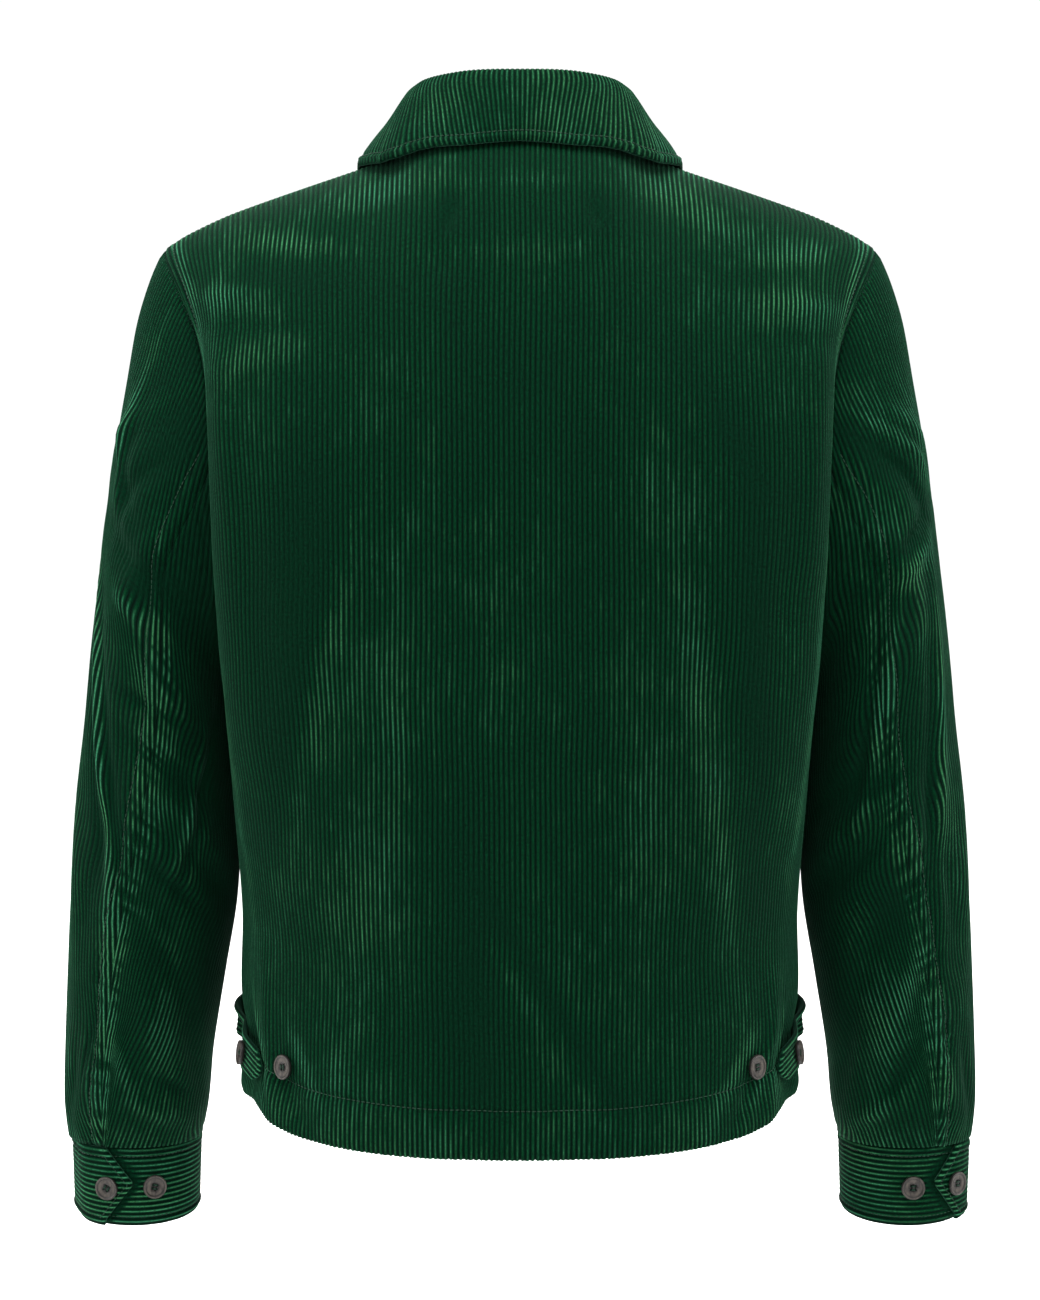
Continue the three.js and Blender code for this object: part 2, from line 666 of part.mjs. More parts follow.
function mirrored(point, side) {
  return side > 0 ? point : vec(-point.x, point.y, point.z);
}

// The columns of a sleeve piece start at the corners of the body's armhole edge and spread out evenly below.
const EVEN_FROM = 0.22;
function sleeveColumns(from, to, splits) {
  const corners = armhole.turns.slice(0, -1).flatMap((turn) => [turn - 1, turn]);
  const turns = [from, ...corners.filter((turn) => turn > from + 1e-6 && turn < to - 1e-6), to].sort((a, b) => a - b);
  for (let i = 0; i < splits; i += 1) {
    let widest = 0;
    for (let k = 1; k < turns.length - 1; k += 1) {
      if (turns[k + 1] - turns[k] > turns[widest + 1] - turns[widest]) widest = k;
    }
    turns.splice(widest + 1, 0, (turns[widest] + turns[widest + 1]) / 2);
  }
  return turns.map((turn) => (turn - from) / (to - from));
}

function buildSleevePiece(name, side, splits, turnsAt, finish) {
  const outer = [];
  const inner = [];
  const shares = sleeveColumns(...turnsAt(0), splits);
  for (let r = 0; r <= SLEEVE_ROWS; r += 1) {
    const down = r / SLEEVE_ROWS;
    const [from, to] = turnsAt(down);
    const outerRow = [];
    const innerRow = [];
    shares.forEach((share, c) => {
      const turn = lerp(from, to, lerp(share, c / (shares.length - 1), smooth(0, EVEN_FROM, down)));
      const point = sleeveFace(turn, down);
      const inward = r === 0 ? towardsArmhole(point) : sleeveNormal(turn, down).negate();
      outerRow.push(mirrored(point, side));
      innerRow.push(mirrored(point.clone().addScaledVector(inward, CLOTH), side));
    });
    outer.push(outerRow);
    inner.push(innerRow);
  }
  addMesh(name, wallGeometry(outer, inner), finish);
}

const SLEEVE_GIRTH = 340;
function buildSleeve(prefix, side) {
  const gap = (1.4 * SEAM_GAP) / SLEEVE_GIRTH / 2;
  const slitFrom = 1 - SLIT_LENGTH / 340;
  const slit = (down) => gap + (SLIT_GAP / SLEEVE_GIRTH / 2) * smooth(slitFrom, slitFrom + 0.06, down);
  buildSleevePiece(`${prefix}_top_sleeve`, side, 0, (down) => {
    const seams = seamTurns(down);
    return [seams.elbow + slit(down), seams.inner - gap];
  }, GREEN);
  buildSleevePiece(`${prefix}_under_sleeve`, side, 2, (down) => {
    const seams = seamTurns(down);
    return [seams.inner - 1 + gap, seams.elbow - slit(down)];
  }, GREEN_DARK);
}

// The cuff: a straight band wound once round the wrist, its pointed end lying over its plain end.
const CUFF_ROWS = [0, 0.22, 0.45, 0.72, 1];
const CUFF_COLUMNS = 34;
function cuffPoint(angle, down, lift) {
  const a = radians(angle);
  const shrink = lerp(0, 1.6, down);
  const x = CUFF_CENTRE_X - (CUFF_HALF_WIDTH - shrink + lift) * Math.cos(a);
  const y = CUFF_CENTRE_Y - (CUFF_HALF_DEPTH - shrink + lift) * Math.sin(a);
  const tilt = CUFF_TILT * down * (y - CUFF_CENTRE_Y);
  return vec(x, y, CUFF_TOP_Z - CUFF_HEIGHT * down + tilt);
}

const CUFF_LIFT = DOUBLED_CLOTH + LAYER_GAP;
const cuffLift = (angle, pointAngle) => {
  const past = angle - pointAngle;
  return CUFF_LIFT * (1 - smooth(CUFF_UNDERLAP + 4, CUFF_UNDERLAP + CUFF_RAMP, past));
};

function buildCuff(prefix, side, pointAngle) {
  const outer = [];
  const inner = [];
  for (const down of CUFF_ROWS) {
    const outerRow = [];
    const innerRow = [];
    const start = pointAngle + CUFF_POINT * Math.min(1, Math.abs(down - 0.45) / 0.5);
    const end = pointAngle + 360 + CUFF_UNDERLAP;
    for (let c = 0; c <= CUFF_COLUMNS; c += 1) {
      const angle = lerp(start, end, c / CUFF_COLUMNS);
      const lift = cuffLift(angle, pointAngle);
      outerRow.push(mirrored(cuffPoint(angle, down, lift), side));
      innerRow.push(mirrored(cuffPoint(angle, down, lift - DOUBLED_CLOTH), side));
    }
    outer.push(outerRow);
    inner.push(innerRow);
  }
  addMesh(`${prefix}_cuff`, wallGeometry(outer, inner), GREEN);
}

// Height of the body's outer face over a plan position near the neck, by halving the row.
function bodyOver(x, y) {
  const panel = y < 0 ? PANELS.back : PANELS.front;
  const s = (Math.abs(x) * panelEdge(panel, 1)) / SHOULDER_HALF_WIDTH;
  let low = 0.05;
  let high = 1;
  for (let i = 0; i < 30; i += 1) {
    const middle = (low + high) / 2;
    if (Math.abs(bodyPoint(panel, s, middle).y) > Math.abs(y)) low = middle;
    else high = middle;
  }
  const point = bodyPoint(panel, s, low);
  return { point: vec(x, y, point.z), normal: bodyNormal(panel, s, low).multiply(vec(Math.sign(x) || 1, 1, 1)) };
}

// The collar: one piece that stands up from the neck seam, rolls over and falls to its pointed outer edge.
const COLLAR_STATIONS = [];
for (const a of [8, 22, 36, 50, 64, 77, 90, 103, 116, 129, 141, 152, 162, 170, COLLAR_END_ANGLE]) COLLAR_STATIONS.push(a);
const COLLAR_SAMPLES = 12;

function collarSection(angle) {
  const turn = Math.abs(angle);
  const side = Math.sign(angle) || 1;
  const a = radians(turn);
  const depth = turn < 90 ? NECK_BACK_DEPTH : NECK_FRONT_DEPTH;
  const rise = turn < 90 ? NECK_BACK_RISE : -NECK_FRONT_DROP;
  const neck = vec(NECK_HALF_WIDTH * Math.sin(a), -depth * Math.cos(a), rise * Math.cos(a) ** 2);
  const out = vec(Math.sin(a) / NECK_HALF_WIDTH, -Math.cos(a) / depth, 0).normalize();
  const layered = 1.7 * smooth(150, 172, turn);
  const base = neck.clone().addScaledVector(out, -2.4).add(vec(0, 0, 0.6 + layered));
  const roll = neck.clone().addScaledVector(out, collarAt.lean(turn)).add(vec(0, 0, collarAt.stand(turn)));
  const over = bodyOver(collarAt.edgeX(turn), collarAt.edgeY(turn));
  const edge = over.point.clone().addScaledVector(over.normal, COLLAR_CLOTH + collarAt.edgeLift(turn) + layered * 1.2);
  const inside = roll.clone().addScaledVector(out, -COLLAR_ROLL).add(vec(0, 0, -6));
  const outside = roll.clone().addScaledVector(out, COLLAR_ROLL).add(vec(0, 0, -5));
  const middle = outside.clone().lerp(edge, 0.5).addScaledVector(over.normal, 1.2);
  const curve = new THREE.CatmullRomCurve3([base, base.clone().lerp(inside, 0.5), inside, roll, outside, middle, edge]);
  const points = [];
  const inward = [];
  const along = vec(0, 0, 1).cross(out).normalize();
  for (let i = 0; i <= COLLAR_SAMPLES; i += 1) {
    const t = i / COLLAR_SAMPLES;
    points.push(mirrored(curve.getPoint(t), side));
    inward.push(mirrored(along.clone().cross(curve.getTangent(t)).normalize(), side));
  }
  return { points, inward };
}

function buildCollar() {
  const angles = [...COLLAR_STATIONS.map((a) => -a).reverse(), ...COLLAR_STATIONS];
  const outer = [];
  const inner = [];
  for (const angle of angles) {
    const { points, inward } = collarSection(angle);
    outer.push(points);
    inner.push(points.map((p, i) => p.clone().addScaledVector(inward[i], COLLAR_CLOTH)));
  }
  addMesh('collar', wallGeometry(outer, inner), GREEN);
}

// A side tab: a strap sewn to the side of the front, bowed clear of the body and buttoned down on the back.
const TAB_STATIONS = 11;
const TAB_ACROSS = 4;
const TAB = { frontDistance: 46, backDistance: -72, frontZ: -558.5, slope: 0.2, tip: 10 };

// The plain body by height and by signed distance round from the side seam, positive towards the front.
function roundSide(distance, z, pointAt) {
  const panel = distance >= 0 ? PANELS.front : PANELS.back;
  const below = ARMPIT_Z - z;
  let row = -below / (ARMPIT_Z - HEM_Z);
  let s = 0;
  for (let i = 0; i < 4; i += 1) {
    s = panelEdge(panel, row) - Math.abs(distance);
    const deep = bodyPoint(panel, s, row).y;
    row = -below / (ARMPIT_Z - HEM_Z - HEM_TILT * deep);
  }
  return { point: pointAt(panel, s, row), normal: bodyNormal(panel, s, row) };
}

const tabLift = (t) => lerp(0.8, 2.8, t) + TAB_BULGE * Math.sin(Math.PI * clamp((t - 0.03) / 0.66, 0, 1)) ** 1.4;
function tabPlace(t, across) {
  const reach = TAB.tip * (1 - (2 * Math.abs(across - 0.5)) ** 2);
  const distance = lerp(TAB.frontDistance, TAB.backDistance, t) - reach * smooth(0.8, 1, t);
  const z = TAB.frontZ - TAB.slope * (TAB.frontDistance - distance) - (across - 0.5) * TAB_WIDTH;
  const { point, normal } = roundSide(distance, z, bodyPoint);
  const level = normal.clone().setZ(0).normalize();
  return { point: point.addScaledVector(level, tabLift(t)), normal: level };
}

function buildTab(prefix, side) {
  const outer = [];
  const inner = [];
  for (let i = 0; i <= TAB_STATIONS; i += 1) {
    const outerRow = [];
    const innerRow = [];
    for (let j = 0; j <= TAB_ACROSS; j += 1) {
      const { point, normal } = tabPlace(i / TAB_STATIONS, j / TAB_ACROSS);
      innerRow.push(mirrored(point, side));
      outerRow.push(mirrored(point.clone().addScaledVector(normal, TAB_CLOTH), side));
    }
    outer.push(outerRow);
    inner.push(innerRow);
  }
  addMesh(`${prefix}_side_tab`, wallGeometry(outer, inner), GREEN);
}

// A four-hole button with a raised rim, lying on a face at a point.
const BUTTON_PROFILE = [
  [0, 0],
  [0.86, 0],
  [1, 0.4],
  [1, 0.8],
  [0.9, 1],
  [0.74, 0.72],
  [0, 0.72],
];
const BUTTON_SIDES = 14;

function solidOf(geometry) {
  const plain = geometry.index ? geometry.clone() : geometry;
  plain.deleteAttribute('normal');
  plain.deleteAttribute('uv');
  const merged = mergeVertices(plain, 1e-4);
  return new wasm.Manifold(new wasm.Mesh({
    numProp: 3,
    vertProperties: new Float32Array(merged.attributes.position.array),
    triVerts: new Uint32Array(merged.index.array),
  }));
}

function buttonGeometry() {
  const profile = BUTTON_PROFILE.map(([r, h]) => new THREE.Vector2(r * BUTTON_RADIUS, h * BUTTON_THICKNESS));
  let solid = solidOf(new THREE.LatheGeometry(profile, BUTTON_SIDES));
  for (let i = 0; i < 4; i += 1) {
    const a = (i + 0.5) * (Math.PI / 2);
    const hole = new THREE.CylinderGeometry(BUTTON_HOLE_RADIUS, BUTTON_HOLE_RADIUS, 3 * BUTTON_THICKNESS, 5);
    hole.translate(BUTTON_HOLE_SPACING * Math.cos(a), 0, BUTTON_HOLE_SPACING * Math.sin(a));
    solid = solid.subtract(solidOf(hole));
  }
  const mesh = solid.getMesh();
  return closedGeometry([...mesh.vertProperties], [...mesh.triVerts]);
}
const button = buttonGeometry();

function addButton(name, point, normal, stand = BUTTON_STAND) {
  const mesh = addMesh(name, button, HORN);
  mesh.quaternion.setFromUnitVectors(vec(0, 1, 0), normal);
  mesh.position.copy(point).addScaledVector(normal, stand);
}

const FRONT_BUTTON_ROWS = [0.86, 0.5, 0.1, -0.26, -0.6, -0.93];
function buildFrontButtons() {
  FRONT_BUTTON_ROWS.forEach((v, i) => {
    const point = bodyFace(PANELS.front, 0.01, v, OVERLAP_LIFT);
    const normal = bodyNormal(PANELS.front, 0.01, v).setX(0).normalize();
    addButton(`front_button_${i + 1}`, point, normal);
  });
}

const CUFF_BUTTON_DOWN = 0.5;
function buildCuffButtons(prefix, side, pointAngle) {
  [[22, 'buttoned'], [-18, 'spare']].forEach(([turn, word]) => {
    const angle = pointAngle + turn;
    const lift = turn > 0 ? CUFF_LIFT : 0;
    const point = cuffPoint(angle, CUFF_BUTTON_DOWN, lift);
    const beside = cuffPoint(angle + 1, CUFF_BUTTON_DOWN, lift).sub(point);
    const normal = vec(-beside.y, beside.x, 0).normalize();
    if (normal.dot(vec(point.x - CUFF_CENTRE_X, point.y - CUFF_CENTRE_Y, 0)) < 0) normal.negate();
    addButton(`${prefix}_cuff_${word}_button`, mirrored(point, side), mirrored(normal, side));
  });
}

const TAB_BUTTON_AT = 0.82;
const WAIST_BUTTON = { distance: -104, z: -574 };
function buildTabButtons(prefix, side) {
  const place = (t, across) => {
    const { point, normal } = tabPlace(t, across);
    return point.addScaledVector(normal, TAB_CLOTH);
  };
  const normal = surfaceNormal(place, TAB_BUTTON_AT, 0.5, 0.07, 0.2, tabPlace(TAB_BUTTON_AT, 0.5).normal);
  addButton(`${prefix}_tab_button`, mirrored(place(TAB_BUTTON_AT, 0.5), side), mirrored(normal, side), 1.15);
  const waist = roundSide(WAIST_BUTTON.distance, WAIST_BUTTON.z, bodyFace);
  addButton(`${prefix}_waist_button`, mirrored(waist.point, side), mirrored(waist.normal, side), 1.8);
}

buildBack();
buildFront('left_front', -1);
buildFront('right_front', 1);
buildCollar();
buildFrontButtons();
const SIDES = [
  { prefix: 'left', side: -1, cuffPointAngle: 88 },
  { prefix: 'right', side: 1, cuffPointAngle: 112 },
];
for (const { prefix, side, cuffPointAngle } of SIDES) {
  buildSleeve(prefix, side);
  buildCuff(prefix, side, cuffPointAngle);
  buildCuffButtons(prefix, side, cuffPointAngle);
  buildTab(prefix, side);
  buildTabButtons(prefix, side);
}

export default jacket;
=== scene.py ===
"""A corduroy jacket seen from behind, filled out as worn, dressed over its CAD model.

Every panel is a closed shell of cloth whose outer face carries the ribs of the corduroy. Its columns of
points follow the ribs, so a rib runs unbroken from edge to edge and is cut off where a seam crosses it.
Sizes are in millimetres until a mesh is made. They repeat those of the CAD source, but for the side tabs and
the sleeves' seams, whose classes say what differs.
"""

import logging
import math
from dataclasses import dataclass, field
from enum import Enum
from functools import lru_cache

import bpy
import numpy as np
from mathutils import Matrix, Vector
from mathutils.geometry import delaunay_2d_cdt


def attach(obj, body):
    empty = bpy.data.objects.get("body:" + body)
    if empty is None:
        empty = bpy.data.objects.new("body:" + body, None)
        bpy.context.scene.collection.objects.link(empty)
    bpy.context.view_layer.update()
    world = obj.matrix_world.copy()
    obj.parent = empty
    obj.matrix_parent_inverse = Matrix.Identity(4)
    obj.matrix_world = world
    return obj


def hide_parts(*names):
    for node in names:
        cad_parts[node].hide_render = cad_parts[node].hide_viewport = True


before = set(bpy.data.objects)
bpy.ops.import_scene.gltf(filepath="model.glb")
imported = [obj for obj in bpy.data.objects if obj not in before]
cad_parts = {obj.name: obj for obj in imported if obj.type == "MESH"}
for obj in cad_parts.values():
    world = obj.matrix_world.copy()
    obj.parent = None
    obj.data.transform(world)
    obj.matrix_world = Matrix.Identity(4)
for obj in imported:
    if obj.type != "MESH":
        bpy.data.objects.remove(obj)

LOG = logging.getLogger("jacket")
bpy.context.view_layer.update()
MM = 0.001

# The cloth
RIB_PITCH = 3.2
COLUMN_STEP = RIB_PITCH / 4
CLOTH = 1.8
DOUBLED_CLOTH = 3.0
HEM_TURN_UP = 29.5
HEM_EXTRA = 1.2
SEAM_GAP = 0.3
LAYER_GAP = 0.35
THREAD_LIFT = 0.42
BAND_THREAD_LIFT = 0.35


class Side(Enum):
    """The wearer's side a piece belongs to."""

    LEFT = -1
    RIGHT = 1

    @property
    def word(self) -> str:
        """The side as it stands in a node's name."""
        return self.name.lower()

    @property
    def flip(self) -> np.ndarray:
        """Factors that take a point from the wearer's right to this side."""
        return np.array((self.value, 1, 1))


class Held(Enum):
    """How a sheet of cloth is held."""

    DRAPED = "draped"
    HUNG = "hung"
    FOLDED = "folded"


def smooth(start: float, end: float, value: np.ndarray | float) -> np.ndarray:
    """A soft step from 0 at start to 1 at end."""
    t = np.clip((np.asarray(value, dtype=float) - start) / (end - start), 0.0, 1.0)
    return t * t * (3 - 2 * t)


def fade(distance: np.ndarray | float, width: float) -> np.ndarray:
    """1 at distance 0, falling softly to 0 at the width."""
    return 1 - smooth(0, width, distance)


def bell(distance: np.ndarray | float, width: float) -> np.ndarray:
    """1 at distance 0, falling softly on both sides, to about a third at the width."""
    return np.exp(-((np.asarray(distance, dtype=float) / width) ** 2))


def lerp(a: np.ndarray | float, b: np.ndarray | float, t: np.ndarray | float) -> np.ndarray | float:
    """The value a share t of the way from a to b."""
    return a + (b - a) * t


def unit(vectors: np.ndarray) -> np.ndarray:
    """The vectors at length one."""
    return vectors / np.maximum(np.linalg.norm(vectors, axis=-1, keepdims=True), 1e-12)


def distances(path: np.ndarray) -> np.ndarray:
    """How far along a path each of its points is."""
    return np.concatenate(([0], np.cumsum(np.linalg.norm(np.diff(path, axis=0), axis=1))))


def facing(normals: np.ndarray, outward: np.ndarray) -> np.ndarray:
    """The normals, turned over where they point against the outward directions."""
    against = np.sum(normals * outward, axis=-1, keepdims=True) < 0
    return np.where(against, -normals, normals)


@dataclass(frozen=True)
class Table:
    """Sizes in named columns, read smoothly by the first column."""

    columns: tuple[str, ...]
    rows: tuple[tuple[float, ...], ...]

    def read(self, name: str, at: np.ndarray | float) -> np.ndarray:
        """Read one column.

        Args:
            name: The column's name.
            at: Where to read it, as values of the first column.

        Returns:
            The column's values there, without overshoot between the rows.
        """
        return np.interp(at, *curve(self, name))


@lru_cache(maxsize=None)
def curve(table: Table, name: str) -> tuple[np.ndarray, np.ndarray]:
    """One column as a close run of points along its smooth curve.

    Args:
        table: The table.
        name: The column's name.

    Returns:
        The places and the values.
    """
    rows = np.array(sorted(table.rows), dtype=float)
    x = rows[:, 0]
    y = rows[:, table.columns.index(name)]
    last = len(x) - 1
    low = np.maximum(np.arange(last + 1) - 1, 0)
    high = np.minimum(np.arange(last + 1) + 1, last)
    slope = (y[high] - y[low]) / (x[high] - x[low])
    place = np.union1d(np.linspace(x[0], x[-1], 4000), x)
    i = np.clip(np.searchsorted(x, place, side="left") - 1, 0, last - 1)
    width = x[i + 1] - x[i]
    rise = y[i + 1] - y[i]
    steepest = 3 * np.abs(rise / width)
    m0 = np.clip(slope[i], -steepest, steepest) * width
    m1 = np.clip(slope[i + 1], -steepest, steepest) * width
    t = (place - x[i]) / width
    return place, y[i] + t * (m0 + t * (3 * rise - 2 * m0 - m1 + t * (m0 + m1 - 2 * rise)))


# Horizontal sections of the body ring
BODY = Table(
    ("z", "back", "wide", "wideY", "backCurve", "side", "sideY", "front", "frontCurve"),
    (
        (-640, 150, 184, -4, 2.5, 184, 4, 138, 2.1),
        (-610, 151, 184, -5, 2.5, 184, 5, 138, 2.1),
        (-590, 151, 181, -6, 2.45, 181, 6, 138, 2.1),
        (-568, 151, 177.5, -6, 2.35, 177.5, 6, 137, 2.1),
        (-540, 150, 182, -6, 2.15, 182, 6, 136, 2.1),
        (-488, 148, 181, -8, 2.05, 180.5, 6, 134, 2.15),
        (-400, 146, 184, -45, 2.25, 179, 28, 135, 2.2),
        (-338, 146, 188, -65, 2.45, 180, 38, 138, 2.25),
        (-305, 144, 190, -70, 2.6, 181, 42, 139, 2.3),
        (-212, 140, 195, -76, 3.0, 181, 46, 137, 2.4),
        (-113, 133, 201, -68, 3.0, 181, 48, 130, 2.4),
        (-60, 126, 204, -62, 3.0, 182, 46, 122, 2.4),
    ),
)
ARMHOLE = Table(
    ("v", "back", "front"),
    (
        (0, 0, 0),
        (0.03, 22, 18),
        (0.08, 38, 33),
        (0.15, 49, 46),
        (0.25, 57, 58),
        (0.4, 62, 66),
        (0.6, 65, 64),
        (0.8, 67, 50),
        (1, 68, 36),
    ),
)
SHOULDER = Table(
    ("x", "z"),
    (
        (70, 2),
        (78, 0),
        (102, -9),
        (140, -22),
        (173, -33.5),
        (190, -40),
        (208, -48.5),
        (218, -54),
        (228, -61.5),
        (240, -75),
    ),
)
SLEEVE = Table(
    ("z", "outer", "inner", "middleY", "halfDepth"),
    (
        (-50, 216.2, 186, 0, 24),
        (-66, 227.1, 188, 0, 34),
        (-94, 239.2, 190, 1, 48),
        (-119, 246.9, 191, 3, 58),
        (-171, 257.6, 191, 6, 69),
        (-223, 266.4, 190, 9, 73),
        (-275, 273.7, 188, 12, 74),
        (-328, 280.5, 187, 15, 71),
        (-381, 285.9, 187, 18, 67),
        (-434, 291.3, 184.8, 22, 63),
        (-488, 297.2, 187.5, 30, 59),
        (-541, 301.2, 196.6, 39, 56),
        (-596, 304.9, 206, 49, 53),
        (-630, 306.6, 209.5, 55, 51),
        (-646, 305.9, 212.2, 57.5, 47),
        (-658, 304.7, 214.9, 59, 42.2),
    ),
)
ELBOW_SEAM = Table(
    ("z", "angle"),
    ((-100, 84), (-270, 84), (-370, 88), (-470, 103), (-530, 109), (-660, 113)),
)
COLLAR = Table(
    ("angle", "stand", "lean", "edgeX", "edgeY", "edgeLift"),
    (
        (-30, 38.4, -1, -33, -73.6, 2.4),
        (0, 35.6, 0, 0, -76, 2),
        (30, 38.4, -1, 33, -73.6, 2.4),
        (52, 40.5, -3.5, 62, -59, 4.4),
        (63, 39.8, -4.8, 77, -45, 7.4),
        (75, 38.6, -6.1, 91, -28.5, 4.8),
        (90, 34, -7, 103, -4, 1.3),
        (120, 30, -5, 104, 48, 1.3),
        (145, 26, -2, 92, 84, 1.3),
        (165, 21, 0, 66, 110, 1.3),
        (177, 18, 1, 42, 122, 1.3),
        (190, 16, 1, 10, 130, 1.3),
    ),
)

# Soft folds as s or angle, z, lean, half length, half width and depth. The first lists are the solids' own.
BACK_FOLDS = (
    (180, -572, 8, 62, 11, 3.6), (214, -570, 6, 58, 17, -4), (150, -598, 38, 34, 9, -2.4),
    (118, -330, -24, 120, 26, -3.4), (62, -520, 5, 90, 18, 2.4), (30, -560, -6, 80, 16, -2.2),
    (48, -60, 12, 16, 12, -2.6), (190, -170, 4, 90, 12, 2.6), (172, -250, 6, 130, 18, -2.4),
)
FRONT_FOLDS = (
    (190, -570, -6, 55, 16, -3.5), (160, -560, -10, 60, 12, 2.5), (150, -250, 22, 90, 20, -3.2),
    (120, -420, 12, 110, 22, 2.6), (90, -520, -8, 80, 18, -2.4), (175, -150, -14, 60, 16, -2.8),
)
SLEEVE_FOLDS = (
    (128, -150, -38, 60, 9, 4), (112, -190, -34, 62, 10, -4), (100, -250, -30, 60, 13, 3),
    (176, -330, 10, 90, 12, -3.5), (160, -420, 6, 120, 12, 3.6), (126, -440, -12, 80, 12, -3.2),
    (66, -400, 52, 58, 12, -4), (52, -440, 50, 52, 11, 3.6), (30, -480, 44, 48, 11, -3.4),
    (70, -520, 30, 60, 13, -3.4), (84, -560, 14, 50, 12, 3), (40, -590, 24, 44, 10, -3.6),
    (146, -610, -12, 36, 9, -3), (60, -632, 70, 28, 8, 3), (262, -420, -62, 50, 12, -4.5),
    (284, -455, -60, 46, 12, 3.6), (250, -360, -48, 48, 12, 3.4), (318, -400, -50, 46, 12, -3.6),
    (230, -560, 12, 60, 12, -3), (290, -600, 16, 44, 11, 3),
)
# Smaller creases that only this dressed cloth has, with s counted towards the wearer's right.
BACK_CREASES = (
    (-178, -84, 84, 34, 6, 1.5), (-170, -104, 88, 40, 8, -1.7), (-176, -128, 80, 44, 8, 1.3),
    (182, -92, -82, 30, 6, 1.4), (176, -112, -86, 38, 8, -1.5), (-44, -36, 20, 11, 6, -2.6),
    (48, -36, -24, 11, 6, -2.4), (-196, -560, -22, 34, 5, 1.8), (-186, -586, -30, 26, 4, -1.4),
    (170, -578, 26, 30, 4.5, 1.8), (196, -560, 10, 30, 4, 1.6), (204, -556, 6, 30, 4, -1.6),
    (-120, -580, -8, 30, 9, 0.9), (84, -584, 6, 34, 9, -0.9), (-222, -360, 14, 46, 8, -1.4),
    (226, -380, -16, 50, 8, -1.4),
)
LEFT_SLEEVE_CREASES = (
    (138, -362, 12, 120, 5, 3.2), (149, -350, 12, 110, 6, -2.6), (127, -372, 12, 110, 6, -2.4),
    (116, -480, 2, 80, 6, 2.2), (146, -176, 6, 56, 5, 2.4), (137, -180, 6, 56, 5, -2.0),
    (124, -218, 44, 34, 9, -2.8), (116, -252, 60, 44, 10, -3.2), (108, -286, 54, 40, 9, 2.4),
    (92, -350, 60, 30, 5, -2.4), (86, -374, 58, 28, 5, 2.0), (62, -420, -16, 70, 5, 2.2),
    (52, -410, -16, 70, 5, -2.0), (74, -470, 48, 32, 5, -2.4), (82, -500, 36, 34, 6, 2.0),
    (96, -600, 22, 28, 6, 2.2), (60, -612, 66, 24, 5, -2.4), (78, -630, 60, 22, 4, 1.8),
    (128, -588, -18, 34, 5, -2.0), (20, -420, 40, 34, 6, -1.2),
)
RIGHT_SLEEVE_CREASES = (
    (120, -190, -32, 50, 5, -3.0), (132, -178, -34, 48, 5, 2.6), (126, -236, 60, 34, 5, -2.8),
    (120, -256, 60, 32, 5, 2.4), (134, -380, 4, 130, 6, 2.8), (122, -390, 4, 120, 6, -2.2),
    (86, -350, 12, 76, 5, 2.4), (76, -360, 12, 76, 5, -2.4), (88, -400, 58, 28, 5, -2.2),
    (70, -455, 46, 32, 6, -2.2), (94, -540, 24, 38, 6, 2.0), (84, -604, 30, 30, 6, -2.4),
    (72, -624, 50, 24, 4, 1.8), (120, -600, -16, 32, 6, 2.2), (24, -440, 42, 34, 6, -1.2),
)
# Painted light and shade on the pile, partly its own brushed and pressed nap: above 0 the pile is drawn
# lighter, as a painted highlight, and below 0 darker, as painted shade, as s or angle, z, lean, half length,
# half width and amount.
BACK_NAP_AND_PAINTED_LIGHT = (
    (-142, -54, 94, 44, 9, 0.8), (-150, -76, 92, 42, 8, -0.5), (-166, -101, 106, 46, 19, 0.6),
    (-192, -80, 20, 40, 9, 0.4), (176, -62, -96, 34, 9, 0.65), (164, -97, -70, 44, 24, 0.6),
    (150, -74, -94, 34, 6, -0.3), (120, -44, -72, 34, 10, 0.5), (-92, -22, 74, 42, 13, 0.8),
    (92, -22, -74, 42, 13, 0.75), (10, -56, 90, 74, 9, 0.4), (0, -14, 90, 46, 7, 0.4),
    (-44, -32, 0, 9, 7, -1.0), (48, -32, 0, 9, 7, -0.9), (0, -122, 0, 58, 54, -0.25),
    (-56, -160, 0, 62, 8, 0.25), (80, -200, 0, 62, 9, 0.3), (-144, -290, 9, 160, 24, -0.7),
    (-118, -300, 14, 84, 11, 0.45), (-146, -405, 16, 72, 13, 0.35), (-100, -440, 6, 150, 34, 0.3),
    (-76, -360, 0, 130, 9, 0.3), (-26, -520, -4, 110, 19, -0.45), (-14, -270, 0, 66, 9, 0.2),
    (106, -290, -8, 92, 12, 0.4), (134, -450, -12, 84, 11, 0.4), (76, -420, -4, 130, 24, 0.3),
    (22, -522, -32, 90, 6, -0.55), (-6, -505, -30, 44, 6, 0.35), (30, -566, -36, 40, 7, 0.35),
    (26, -440, -20, 54, 5, -0.3), (128, -165, -28, 66, 10, -0.55), (150, -320, -4, 150, 14, -0.7),
    (-208, -380, -2, 120, 8, 0.7), (206, -350, 2, 130, 8, 1.0), (-150, -566, -32, 32, 6, 0.8),
    (-186, -576, -20, 30, 7, 0.6), (146, -574, 40, 34, 7, 0.8), (186, -572, 16, 30, 7, 0.7),
)
